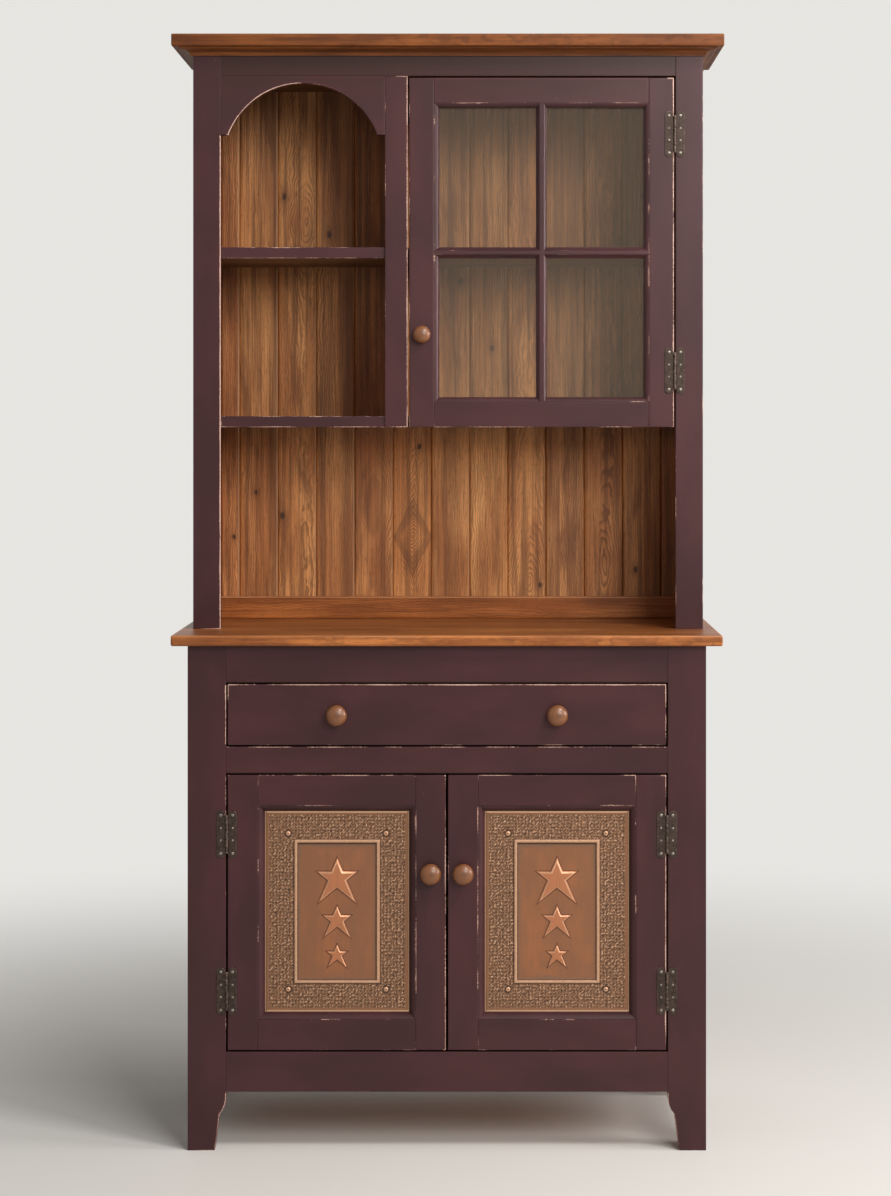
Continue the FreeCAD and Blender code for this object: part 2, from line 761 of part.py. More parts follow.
catch_near = "door_near + catch_gap"
catch_depth = ("frame_back + strike_thick + catch_gap", "frame_back + strike_thick + catch_gap + catch_depth")
catch_level = ("doors_top - catch_hang", "doors_top - catch_hang + catch_height")
bridge_depth = ("frame_back", catch_depth[0])
catch_pieces = []
for side in (-1, 1):
    reach = span(side, catch_near, catch_near + " + catch_width")
    block = box("catch_block", reach, catch_depth, catch_level)
    bridge = box("catch_bridge", reach, bridge_depth, ("doors_top", catch_level[1]))
    catch_pieces.append(joined("MultiFuse", "catch", [block, bridge]))
glass_catch_depth = tuple(text.replace("frame_back", "upper_frame_back") for text in catch_depth)
glass_catch_level = ("glass_top - catch_height - glass_member", "glass_top - glass_member")
glass_catch_run = ("divider_right", "divider_right + catch_width")
catch_pieces.append(box("glass_catch", glass_catch_run, glass_catch_depth, glass_catch_level))
gather("door_catches", catch_pieces)

# ---- glazed door

glass = hinges["glass_door"]
sash_run_x = ("sash_left", "sash_right")
sash_run_z = ("sash_under", "sash_top")
knob_x = "glass_left + glass_member / 2"
knob_z = "niche_top + glass_knob_rise"
door_run_z = ("niche_top", "glass_top")
sash_left = box("glass_door_left_stile", ("glass_left", "sash_left"), upper_frame_depth, door_run_z)
sash_right = box("glass_door_right_stile", ("sash_right", "glass_right"), upper_frame_depth, door_run_z)
glass_knob_hole = tenon_hole("glass_knob_hole", knob_x, "upper_front", knob_z)
glass_door_pilots = joined("Compound", "glass_door_pilots", glass.door_pilots)
gather("glass_door_stiles", [
    cut("glass_door_left_stile_drilled", sash_left, glass_knob_hole),
    cut("glass_door_right_stile_drilled", sash_right, glass_door_pilots),
])
gather("glass_door_rails", [
    box("glass_door_bottom_rail", sash_run_x, upper_frame_depth, ("niche_top", "sash_under")),
    box("glass_door_top_rail", sash_run_x, upper_frame_depth, ("sash_top", "glass_top")),
])
sash_depth = ("upper_front + moulding_drop", "pane_front")
sash_ring = (sash_run_x, sash_depth, sash_run_z, "glass_moulding", "moulding_lip")
gather("glass_door_moulding", mitred_ring("glass_door_bar", *sash_ring))

muntin_steps = (("-muntin_face / 2", "upper_front"), ("muntin_face / 2", "upper_front"),
                ("muntin_width / 2", "pane_front"), ("muntin_stem / 2", "pane_front"),
                ("muntin_stem / 2", "upper_frame_back"), ("-muntin_stem / 2", "upper_frame_back"),
                ("-muntin_stem / 2", "pane_front"), ("-muntin_width / 2", "pane_front"))
upright_outline = [("muntin_x + " + across, deep) for across, deep in muntin_steps]
crossbar_outline = [(deep, "muntin_z + " + across) for across, deep in muntin_steps]
cross = joined("MultiFuse", "muntin_cross", [
    slab("muntin_upright", "XY", upright_outline, *sash_run_z),
    slab("muntin_crossbar", "YZ", crossbar_outline, *sash_run_x),
])
coping = joined("Compound", "muntin_coping", mitred_ring("coping_bar", *sash_ring))
gather("glass_door_muntins", [cut("muntins_coped", cross, coping)])

pane_columns = (("sash_left", "muntin_x - muntin_stem / 2"), ("muntin_x + muntin_stem / 2", "sash_right"))
pane_rows = (("sash_under", "muntin_z - muntin_stem / 2"), ("muntin_z + muntin_stem / 2", "sash_top"))
panes, beads = [], []
for left, right in pane_columns:
    for low, high in pane_rows:
        pane_x = (left + " + glass_fit", right + " - glass_fit")
        pane_z = (low + " + glass_fit", high + " - glass_fit")
        panes.append(box("pane", pane_x, ("pane_front", "pane_back"), pane_z))
        bead_depth = ("pane_back", "upper_frame_back")
        inner = (left + " + bead_width", right + " - bead_width")
        beads.append(box("bead_upright", (left, inner[0]), bead_depth, (low, high)))
        beads.append(box("bead_upright", (inner[1], right), bead_depth, (low, high)))
        beads.append(box("bead_level", inner, bead_depth, (low, low + " + bead_width")))
        beads.append(box("bead_level", inner, bead_depth, (high + " - bead_width", high)))
gather("glass_panes", panes)
gather("glazing_beads", beads)
glass_knob_spot = (knob_x, "upper_front", knob_z)
glass_knob = mushroom("glass_knob", "glass_knob_reach", "glass_knob_radius", *glass_knob_spot)
gather("glass_door_knob", [glass_knob])
gather("glass_door_hinge_leaves", glass.door_leaves)
glass_strike = box("glass_strike", ("glass_left + shelf_gap", "glass_left + shelf_gap + strike_width"),
                   ("upper_frame_back", "upper_frame_back + strike_thick"), glass_catch_level)
gather("glass_door_fixings", glass.door_screws + [glass_strike])

# ---- lower doors


def crossing(start, stop, other_start, other_stop):
    """Where two lines of a flat figure cross."""
    run, other = stop - start, other_stop - other_start
    gap = other_start - start
    share = (gap.x * other.z - gap.z * other.x) / (run.x * other.z - run.z * other.x)
    return start + run * share


def star(name, share, x, top):
    """A raised star drawn with five straight lines and hung from its top point.

    Its sides slope up to a flat plateau.
    """
    height, arm_reach, arm_drop, leg_reach = (
        number("star_%s" % word) * number(share) for word in ("height", "arm_reach", "arm_drop", "leg_reach"))
    tips = [
        Vector(0, 0, 0),
        Vector(arm_reach, 0, -arm_drop),
        Vector(leg_reach, 0, -height),
        Vector(-leg_reach, 0, -height),
        Vector(-arm_reach, 0, -arm_drop),
    ]
    foot = []
    for turn, tip in enumerate(tips):
        following = tips[(turn + 1) % 5]
        foot += [tip, crossing(tip, tips[(turn + 2) % 5], tips[turn - 1], following)]
    middle = sum(tips, Vector()) * (1 / len(tips))
    rise = Vector(0, -number("star_relief"), 0)
    cap = [middle + (corner - middle) * number("star_plateau_share") + rise for corner in foot]
    faces = [Part.Face(Part.makePolygon(ring + ring[:1])) for ring in (foot, cap)]
    for near, far, high_near, high_far in zip(foot, foot[1:] + foot[:1], cap, cap[1:] + cap[:1]):
        faces.append(Part.Face(Part.makePolygon([near, far, high_far, high_near, near])))
    shape = Part.makeSolid(Part.makeShell(faces))
    if shape.Volume < 0:
        shape.reverse()
    piece = doc.addObject("Part::Feature", name)
    piece.Shape = shape
    return place(piece, x, "copper_front", top)


star_rows = (
    ("1", "top_star_rise"),
    ("middle_star_share", "middle_star_rise"),
    ("low_star_share", "-low_star_drop"),
)


def copper_panel(name, side):
    """A sheet with a raised bead frame, a boss outside each corner of it and three stars inside."""
    x = span(side, "panel_near", "panel_far")
    z = ("panel_low", "panel_high")
    middle_x = "%d * door_middle_x" % side
    frame_x = (x[0] + " + frame_inset_side", x[1] + " - frame_inset_side")
    frame_z = (z[0] + " + frame_inset_end", z[1] + " - frame_inset_end")
    pieces = [box(name + "_sheet", x, ("copper_front", "copper_back"), z)]
    bead_depth = ("copper_front - relief", "copper_front")
    pieces += mitred_ring(name + "_bead", frame_x, bead_depth, frame_z, "frame_bead", "relief")
    ball = "((boss_radius ^ 2 + relief ^ 2) / (2 * relief))"
    for corner_x in (frame_x[0] + " - boss_offset", frame_x[1] + " + boss_offset"):
        for corner_z in (frame_z[0] + " - boss_offset", frame_z[1] + " + boss_offset"):
            boss = doc.addObject("Part::Sphere", name + "_boss")
            bind(boss, Radius=ball, Angle1="asin((%s - relief) / %s)" % (ball, ball))
            boss.Angle2 = 90
            facing = Rotation(Vector(1, 0, 0), 90)
            place(boss, corner_x, "copper_front + %s - relief" % ball, corner_z, facing)
            pieces.append(boss)
    for share, rise in star_rows:
        pieces.append(star(name + "_star", share, middle_x, "door_middle_z + (%s)" % rise))
    return joined("MultiFuse", name + "_pressed", pieces)


def lower_door(name, side):
    line = hinges[name]
    run_z = ("door_low", "door_high")
    panel_x = span(side, "panel_near", "panel_far")
    panel_z = ("panel_low", "panel_high")
    centre_x = "%d * (door_near + door_member / 2)" % side
    centre_z = "door_middle_z + door_knob_rise"
    meeting = box(name + "_meeting_stile", span(side, "door_near", "panel_near"), frame_depth, run_z)
    hanging = box(name + "_hanging_stile", span(side, "panel_far", "door_far"), frame_depth, run_z)
    pilots = joined("Compound", name + "_pilots", line.door_pilots)
    knob_spot = (centre_x, "base_front", centre_z)
    gather(name + "_stiles", [
        cut(name + "_meeting_stile_drilled", meeting, tenon_hole(name + "_knob_hole", *knob_spot)),
        cut(name + "_hanging_stile_drilled", hanging, pilots),
    ])
    gather(name + "_rails", [
        box(name + "_bottom_rail", panel_x, frame_depth, ("door_low", "panel_low")),
        box(name + "_top_rail", panel_x, frame_depth, ("panel_high", "door_high")),
    ])
    ring_depth = ("base_front + moulding_drop", "copper_front")
    bars = mitred_ring(name + "_bar", panel_x, ring_depth, panel_z, "door_moulding", "moulding_lip")
    gather(name + "_moulding", bars)
    gather(name + "_panel_backer", [box(name + "_backer", panel_x, ("copper_back", "frame_back"), panel_z)])
    gather(name + "_copper_panel", [copper_panel(name + "_copper", side)])
    gather(name + "_knob", [mushroom(name + "_turned_knob", "knob_reach", "knob_radius", *knob_spot)])
    gather(name + "_hinge_leaves", line.door_leaves)
    strike_near = "door_near + shelf_gap"
    strike = box(name + "_strike", span(side, strike_near, strike_near + " + strike_width"),
                 ("frame_back", "frame_back + strike_thick"), ("doors_top - catch_hang", "door_high"))
    gather(name + "_fixings", line.door_screws + [strike])


lower_door("left_door", -1)
lower_door("right_door", 1)

# ---- drawer

drawer_middle = "(drawer_low + drawer_high) / 2"
knob_centres = ("-knob_spacing / 2", "knob_spacing / 2")
front_run = ("-drawer_half", "drawer_half")
front_board = box("drawer_front_board", front_run, frame_depth, ("drawer_low", "drawer_high"))
knob_holes = joined("Compound", "drawer_knob_holes", [
    tenon_hole("drawer_knob_hole", centre, "base_front", drawer_middle) for centre in knob_centres
])
gather("drawer_front", [cut("drawer_front_drilled", front_board, knob_holes)])
gather("drawer_knobs", [
    mushroom("drawer_knob", "knob_reach", "knob_radius", centre, "base_front", drawer_middle)
    for centre in knob_centres
])
drawer_run = ("frame_back", "drawer_end")
side_level = ("drawer_side_low", "drawer_side_high")
bottom_under = "drawer_side_low + drawer_bottom_rise"
bottom_top = bottom_under + " + drawer_bottom_thick"
inside_run = ("-drawer_inner", "drawer_inner")
drawer_back_run = ("drawer_end - drawer_side_thick", "drawer_end")
gather("drawer_sides", pair("drawer_side", "drawer_inner", "drawer_outer", drawer_run, side_level))
back_level = (bottom_top, "drawer_side_high")
gather("drawer_back", [box("drawer_back_board", inside_run, drawer_back_run, back_level)])
gather("drawer_bottom", [box("drawer_bottom_board", inside_run, drawer_run, (bottom_under, bottom_top))])

# ---- check every object, then write one STEP file for each node

doc.recompute()
faults = [item.Name for item in doc.Objects if "Invalid" in item.State or "Error" in item.State]
for name, item in nodes.items():
    shape = item.Shape
    if shape.isNull() or not shape.isValid() or not shape.Solids:
        faults.append(name)
if faults:
    raise RuntimeError("not built: " + ", ".join(faults))

os.makedirs("parts", exist_ok=True)
for name, item in nodes.items():
    item.Shape.exportStep("parts/%s.step" % name)
print(len(nodes), "nodes written")
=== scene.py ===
import bmesh
import bpy
import json
import math
import random
from mathutils import Matrix, Vector

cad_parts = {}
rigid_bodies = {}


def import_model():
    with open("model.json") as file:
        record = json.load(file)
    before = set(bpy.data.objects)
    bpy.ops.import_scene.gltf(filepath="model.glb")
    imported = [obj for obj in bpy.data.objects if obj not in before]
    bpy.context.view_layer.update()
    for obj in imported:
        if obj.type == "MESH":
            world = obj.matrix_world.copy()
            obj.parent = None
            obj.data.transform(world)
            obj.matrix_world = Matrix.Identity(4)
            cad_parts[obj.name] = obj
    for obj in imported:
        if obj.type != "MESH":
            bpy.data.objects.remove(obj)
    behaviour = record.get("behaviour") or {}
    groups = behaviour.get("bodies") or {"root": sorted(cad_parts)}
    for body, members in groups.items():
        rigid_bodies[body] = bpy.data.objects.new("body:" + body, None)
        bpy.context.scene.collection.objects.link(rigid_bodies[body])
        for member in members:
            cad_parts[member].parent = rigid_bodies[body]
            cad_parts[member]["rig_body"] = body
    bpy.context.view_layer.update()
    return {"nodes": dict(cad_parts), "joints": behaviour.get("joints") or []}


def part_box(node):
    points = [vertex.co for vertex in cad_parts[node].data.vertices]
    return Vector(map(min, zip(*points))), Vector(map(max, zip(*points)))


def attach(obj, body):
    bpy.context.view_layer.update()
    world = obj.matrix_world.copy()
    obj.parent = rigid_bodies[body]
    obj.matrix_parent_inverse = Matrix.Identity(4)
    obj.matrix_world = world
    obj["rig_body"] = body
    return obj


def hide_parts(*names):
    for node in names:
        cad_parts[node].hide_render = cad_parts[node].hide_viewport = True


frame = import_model()
mm = 0.001
nodes = frame["nodes"]


def tint(*levels):  # a colour as it is picked on a screen
    shares = [level / 255 for level in levels]
    return (*(s / 12.92 if s < 0.0404 else ((s + 0.055) / 1.055) ** 2.4 for s in shares), 1)


class Wire:  # an output of a node, which sums can be written with
    def __init__(self, finish, socket):
        self.finish, self.socket = finish, socket

    def __add__(self, other):
        return self.finish.maths("ADD", self, other)

    def __sub__(self, other):
        return self.finish.maths("SUBTRACT", self, other)

    def __rsub__(self, other):
        return self.finish.maths("SUBTRACT", other, self)

    def __mul__(self, other):
        return self.finish.maths("MULTIPLY", self, other)

    def __truediv__(self, other):
        return self.finish.maths("DIVIDE", self, other)

    def __pow__(self, other):
        return self.finish.maths("POWER", self, other)

    __radd__ = __add__
    __rmul__ = __mul__


class Finish:  # one material, or the world, and the nodes in it
    def __init__(self, name, owner=None):
        self.material = owner or bpy.data.materials.new(name)
        self.material.use_nodes = True
        self.tree = self.material.node_tree
        self.tree.nodes.clear()

    def node(self, kind, settings=None, sockets=None, out=0):
        made = self.tree.nodes.new("ShaderNode" + kind)
        for key, value in (settings or {}).items():
            setattr(made, key, value)
        for key, value in (sockets or {}).items():
            if isinstance(value, Wire):
                self.tree.links.new(value.socket, made.inputs[key])
            else:
                made.inputs[key].default_value = value
        return Wire(self, made.outputs[out]) if made.outputs else None

    def maths(self, operation, *values):
        return self.node("Math", {"operation": operation}, dict(enumerate(values)))

    def vector(self, operation, *values, out=0):
        return self.node("VectorMath", {"operation": operation}, dict(enumerate(values)), out)

    def join(self, *parts):
        return self.node("CombineXYZ", None, dict(enumerate(parts)))

    def parts(self, vector):
        return [self.node("SeparateXYZ", None, {0: vector}, axis) for axis in range(3)]

    def place(self):
        return self.node("TexCoord", out="Object")

    def reading(self, name, out="Fac"):  # a value that the mesh carries
        return self.node("Attribute", {"attribute_name": name}, None, out)

    def step(self, value, low, high):
        sockets = {"Value": value, "From Min": low, "From Max": high}
        return self.node("MapRange", {"interpolation_type": "SMOOTHSTEP"}, sockets)

    def mix(self, share, first, second, way="MIX"):
        return self.node("Mix", {"data_type": "RGBA", "blend_type": way}, {0: share, 6: first, 7: second}, 2)

    def layers(self, colour, look, *shares):  # more colours of a look, each laid over the last by its share
        for share, name in shares:
            colour = self.mix(share, colour, look[name])
        return colour

    def noise(self, vector, scale=1.0, detail=2.0, rough=0.5):
        sockets = {"Vector": vector, "Scale": scale, "Detail": detail, "Roughness": rough}
        return self.node("TexNoise", None, sockets)

    def bump(self, height, depth, strength=1.0):
        return self.node("Bump", None, {"Height": height, "Distance": depth, "Strength": strength})

    def surface(self, **sockets):
        words = {key.replace("_", " "): value for key, value in sockets.items()}
        return self.close(self.node("BsdfPrincipled", None, words))

    def close(self, shader, output="OutputMaterial"):
        self.node(output, None, {"Surface": shader})
        return self.material


paintLook = {
    "plum": tint(74, 39, 42), "deepPlum": tint(58, 30, 32), "bareWood": tint(208, 173, 158),
    "oldPrimer": tint(146, 102, 88), "paintedShade": tint(46, 25, 17), "brushWidth": 320, "breakUp": 1.0,
    "gloss": 0.3, "specular": 0.3,
}


def plumPaint(name, along):  # satin milk paint, rubbed through on its edges
    look = paintLook
    finish = Finish(name)
    place = finish.place()
    stretch = [0.05 if axis == along else 1.0 for axis in "xyz"]
    brush = finish.noise(finish.vector("MULTIPLY", place, stretch), look["brushWidth"], 3, 0.6)
    cloud = finish.noise(finish.vector("MULTIPLY", place, [s ** 0.3 for s in stretch]), 11, 3, 0.55)
    ragged = finish.noise(place, 480, 2, 0.6)
    patchy = finish.noise(place, 17, 2, 0.5)
    wear = finish.reading("wear") + (patchy - 0.5) * look["breakUp"] + (ragged - 0.5) * 0.4
    rubbed = finish.step(wear, 0.96, 1.03)
    chips = finish.noise(finish.vector("MULTIPLY", place, [1.0, 1.0, 2.3]), 62, 2, 0.45)
    rubbed = finish.maths("MAXIMUM", rubbed, finish.step(chips, 0.795, 0.815) * 0.8)
    # painted shade: where the value is below 0, a dark colour in the gaps beside doors and drawer, under the
    # crown and at the foot of the moulding recesses
    paintedShadeShare = finish.step(finish.reading("wear") * -1.0, 0.05, 1.1) * 0.9
    paint = finish.layers(
        look["deepPlum"], look, (finish.step(cloud, 0.3, 0.72), "plum"),
        ((brush - 0.5) * 0.5 + 0.12, "deepPlum"), (paintedShadeShare, "paintedShade"))
    pale = finish.step(wear + (ragged - 0.5) * 1.4, 0.98, 1.22)
    bare = finish.mix(pale, look["oldPrimer"], look["bareWood"])
    return finish.surface(
        Base_Color=finish.mix(rubbed, paint, bare), Roughness=look["gloss"] + brush * 0.14 + rubbed * 0.2,
        Specular_IOR_Level=look["specular"], Normal=finish.bump(brush * 0.5 - rubbed, 0.25 * mm, 0.35))


plankLook = {
    "light": tint(234, 170, 109), "middle": tint(194, 129, 76), "dark": tint(110, 66, 36),
    "pore": tint(74, 44, 25), "knot": tint(60, 35, 21), "edge": tint(226, 176, 130), "ring": 4.6 * mm,
    "wander": 0.03, "eyeSpan": 0.11, "blotch": 0.5, "gloss": 0.5, "specular": 0.45,
}
counterLook = dict(
    plankLook, light=tint(186, 114, 60), middle=tint(152, 88, 43), dark=tint(99, 54, 26),
    edge=tint(222, 158, 110), ring=5 * mm, blotch=0.2, gloss=0.34, specular=0.28)
crownLook = dict(
    plankLook, light=tint(143, 82, 38), middle=tint(116, 63, 27), dark=tint(74, 38, 16),
    edge=tint(160, 102, 68), ring=4.4 * mm, gloss=0.4, specular=0.22)
innerLook = dict(
    plankLook, light=tint(206, 154, 106), middle=tint(182, 128, 84), dark=tint(140, 90, 55),
    edge=tint(206, 158, 114), ring=6 * mm, gloss=0.6)


def grainedWood(name, order, look):  # order says which axes run across, into and along the board
    finish = Finish(name)
    axes = dict(zip("xyz", finish.parts(finish.place())))
    across, depth, run = (axes[letter] for letter in order)
    seed = finish.reading("seed")
    shift = finish.join(seed * 3.1, seed * 7.7, seed * 5.3)
    base = finish.vector("ADD", finish.join(across, depth, run), shift)

    def field(wide, long, detail=2, rough=0.5):
        return finish.noise(finish.vector("MULTIPLY", base, (wide, wide, long)), 1, detail, rough)

    def sway(wide, long, amount):
        return (field(wide, long) - 0.5) * amount

    pith, eye, steep = finish.parts(finish.reading("figure", "Vector"))
    side = across - pith + sway(0.3, 2.4, look["wander"])
    away = finish.maths("ABSOLUTE", run - eye)
    span = look["eyeSpan"]
    rise = (1 - finish.maths("EXPONENT", away / -span)) * steep * span + sway(1, 2.3, 0.014)
    pointed = finish.reading("pointed")
    rounded = (side * side + rise * rise) ** 0.5
    diamond = finish.maths("ABSOLUTE", side) + finish.maths("ABSOLUTE", rise)
    radius = rounded + (diamond - rounded) * pointed * finish.step(rounded, 8 * mm, 26 * mm)
    for wide, long, amount in ((17, 2.9, 0.009), (46, 26, 0.013), (90, 9, 0.0026)):
        radius = radius + sway(wide, long, amount)
    core, shade = 0, 0
    for knotName in ("knotA", "knotB"):
        knotAcross, knotAlong, knotSize = finish.parts(finish.reading(knotName, "Vector"))
        off, up = across - knotAcross, (run - knotAlong) * 0.62
        reach = (off * off + up * up) / (knotSize * knotSize + 1e-9)
        radius = radius + finish.maths("EXPONENT", reach * -0.16) * knotSize * 1.7
        core = (1 - finish.step(reach + sway(240, 160, 1.3), 0.2, 1.1)) + core
        shade = finish.maths("EXPONENT", reach * -0.22) + shade
    bandAt, bandWide, bandDepth = finish.parts(finish.reading("band", "Vector"))
    filled = finish.step(radius, bandAt - bandWide * 2.2, bandAt - bandWide * 0.8)
    band = filled * (1 - finish.step(radius, bandAt, bandAt + bandWide * 0.3)) * bandDepth
    streakAt, streakWide, streakDepth = finish.parts(finish.reading("streak", "Vector"))
    offStreak = (across - streakAt + sway(2, 5, 0.012)) / (streakWide + 0.0001)
    band = finish.maths("EXPONENT", offStreak * offStreak * -1.0) * streakDepth + band
    ring = finish.maths("FRACT", radius / look["ring"] + sway(26, 1.2, 2.2))
    late = finish.step(ring, 0.25, 0.85) * (1 - finish.step(ring, 0.9, 1.0))
    late = late * finish.step(field(31, 2.2), 0.34, 0.62)
    near = 1 - finish.step(radius, 24 * mm, 60 * mm)
    fibre = field(420, 9, 3, 0.6)
    flecks = finish.step(field(1100, 70, 1), 0.6, 0.7)
    wood = finish.layers(
        look["light"], look, (finish.step(field(17, 3.1, 3, 0.6), 0.36, 0.6), "middle"),
        (finish.step(field(38, 7.5, 3, 0.6), 0.53, 0.7) * look["blotch"], "dark"),
        (finish.step(field(84, 2.4, 4, 0.65), 0.43, 0.66) * 0.7, "dark"),
        (late * (near * 0.24 + 0.48), "dark"), (finish.step(fibre, 0.42, 0.7) * 0.42, "dark"),
        (flecks * 0.5, "pore"))
    wood = finish.mix(1.0, wood, finish.reading("tone", "Color"), "MULTIPLY")
    # the paler edge colour: painted highlight on the plank chamfers and the counter's rounded front edge; also
    # the pale top edge of the backsplash and the lines of the crown
    wear = finish.step(finish.reading("wear") + (fibre - 0.5) * 0.5, 0.75, 1.05)
    wood = finish.layers(
        wood, look, (finish.maths("MINIMUM", shade * 0.5 + band, 0.85), "dark"),
        (finish.maths("MINIMUM", core * 0.9, 0.9), "knot"), (wear * 0.7, "edge"))
    return finish.surface(
        Base_Color=wood, Roughness=look["gloss"] + fibre * 0.12, Specular_IOR_Level=look["specular"],
        Normal=finish.bump(fibre * 0.5 - late * 0.4 - flecks * 0.5, 0.3 * mm, 0.3))


knobLook = {
    "light": tint(146, 89, 47), "dark": tint(66, 37, 19), "heart": tint(80, 51, 34), "ring": 3.1 * mm,
    "gloss": 0.34, "offCentre": (2.5 * mm, 1.5 * mm), "heartSize": (2.5 * mm, 6.5 * mm),
}


def knobWood(name):  # end grain on the face, long grain round the side
    look = knobLook
    finish = Finish(name)
    x, y, z = finish.parts(finish.vector("SUBTRACT", finish.place(), finish.reading("heart", "Vector")))
    seed = finish.reading("seed")
    wobble = finish.noise(finish.join(x * 60 + seed, y * 14, z * 60), 1, 3) - 0.5
    off, up = x - look["offCentre"][0], z - look["offCentre"][1]
    radius = (off * off + up * up) ** 0.5 + wobble * 0.004
    ring = finish.maths("FRACT", radius / look["ring"])
    late = finish.step(ring, 0.2, 0.8) * (1 - finish.step(ring, 0.88, 1.0))
    fibre = finish.noise(finish.join(x * 900 + seed, y * 60, z * 900), 1, 2)
    wood = finish.layers(
        look["light"], look, (late * 0.78 + finish.step(fibre, 0.45, 0.7) * 0.25, "dark"),
        ((1 - finish.step(radius, *look["heartSize"])) * 0.55, "heart"))
    return finish.surface(
        Base_Color=wood, Roughness=look["gloss"] + fibre * 0.1, Coat_Weight=0.3, Coat_Roughness=0.25,
        Normal=finish.bump(fibre - late * 0.5, 0.1 * mm, 0.25))


copperLook = {
    "field": tint(140, 95, 67), "warm": tint(160, 102, 68), "polished": tint(190, 122, 84),
    "rubbed": tint(224, 180, 146), "grey": tint(118, 92, 74), "bronze": tint(128, 95, 70),
    "dark": tint(48, 28, 16), "metal": 0.55, "gloss": 0.36,
}


def pressedCopper(name):  # brushed copper sheet with dark patina left in its hollows
    look = copperLook
    finish = Finish(name)
    place = finish.place()
    patina, raised, border, aged = (finish.reading(word) for word in ("patina", "raised", "border", "aged"))
    streak = finish.noise(finish.vector("MULTIPLY", place, (1, 1, 0.03)), 520, 3, 0.6)
    cloud = finish.noise(finish.vector("MULTIPLY", place, (1, 1, 0.5)), 22, 3, 0.6)
    speck = finish.noise(place, 700, 2, 0.6)
    grain = finish.noise(place, 260, 2, 0.6)
    hollow = finish.step(patina + (speck - 0.5) * 0.7, 0.25, 0.95)
    metal = finish.layers(
        look["field"], look, (finish.step(cloud, 0.35, 0.7), "warm"),
        (finish.step(cloud + aged * 0.5, 0.62, 1.0) * 0.8, "grey"),
        (finish.step(aged * -1.0, 0.2, 0.9) * 0.85, "polished"),
        (border * 0.75, "bronze"), (finish.step(streak, 0.4, 0.75) * 0.3, "grey"),
        # the rubbed colour on rubbed high points, and as painted highlight along the rim's lip
        (finish.step(raised + (grain - 0.5) * 0.6, 0.35, 1.0) * 0.7, "rubbed"), (hollow * 0.85, "dark"))
    return finish.surface(
        Base_Color=metal, Metallic=look["metal"] - hollow * 0.4,
        Roughness=look["gloss"] + streak * 0.2 + hollow * 0.2,
        Normal=finish.bump(streak * 0.4 + speck * 0.3, 0.12 * mm, 0.3))


ironLook = {
    "iron": tint(74, 60, 52), "dark": tint(50, 40, 35), "rubbed": tint(146, 126, 114),
    "rust": tint(72, 50, 40), "metal": 0.65, "gloss": 0.5,
}


def darkIron(name):
    look = ironLook
    finish = Finish(name)
    place = finish.place()
    mottle = finish.noise(place, 210, 4, 0.65)
    cloud = finish.noise(place, 60, 2)
    rubbed = finish.step(finish.reading("wear") + (mottle - 0.5) * 0.9, 0.7, 1.1)
    metal = finish.layers(
        look["dark"], look, (finish.step(mottle, 0.36, 0.64), "iron"),
        (finish.step(cloud, 0.55, 0.75) * 0.5, "rust"), (rubbed * 0.75, "rubbed"))
    return finish.surface(
        Base_Color=metal, Metallic=look["metal"], Roughness=look["gloss"] - rubbed * 0.12 + mottle * 0.1,
        Normal=finish.bump(mottle, 0.2 * mm, 0.4))


steelLook = {
    "dark": tint(104, 96, 88), "light": tint(168, 160, 150), "grain": (900, 3, 0.6), "spread": (0.35, 0.65),
    "metal": 0.8, "gloss": 0.36, "uneven": 0.12,
}
plasticLook = {
    "dark": tint(66, 42, 30), "light": tint(80, 52, 38), "grain": (1400, 2, 0.5), "spread": (0.3, 0.7),
    "metal": 0.0, "gloss": 0.42, "uneven": 0.1,
}


def smallParts(name, look):  # an even material with a fine grain
    finish = Finish(name)
    grain = finish.noise(finish.place(), *look["grain"])
    return finish.surface(
        Base_Color=finish.mix(finish.step(grain, *look["spread"]), look["dark"], look["light"]),
        Metallic=look["metal"], Roughness=look["gloss"] + grain * look["uneven"],
        Normal=finish.bump(grain, 0.05 * mm, 0.3))


glassLook = {
    # film and its dust share: a faint warm diffuse layer, a painted reflection of the room
    "tint": (0.985, 0.985, 0.97, 1), "reflectionFilm": (0.8, 0.58, 0.38, 1), "dust": 0.03, "refraction": 1.5,
    "mirror": {"Color": (1, 1, 1, 1), "Roughness": 0.03}, "mirrorShare": 0.45,
}


def clearGlass(name):  # a thin pane: mostly clear, with a painted reflection of the room as a faint warm diffuse film
    look = glassLook
    finish = Finish(name)
    ripple = finish.bump(finish.noise(finish.place(), 14, 2), 0.4 * mm, 0.25)
    clear = finish.node("BsdfTransparent", None, {"Color": look["tint"]})
    reflectionFilm = finish.node("BsdfDiffuse", None, {"Color": look["reflectionFilm"]})
    reflectionHaze = finish.node("MixShader", None, {0: look["dust"], 1: clear, 2: reflectionFilm})
    mirror = finish.node("BsdfGlossy", None, {**look["mirror"], "Normal": ripple})
    share = finish.node("Fresnel", None, {"IOR": look["refraction"]}) * look["mirrorShare"]
    return finish.close(finish.node("MixShader", None, {0: share, 1: reflectionHaze, 2: mirror}))


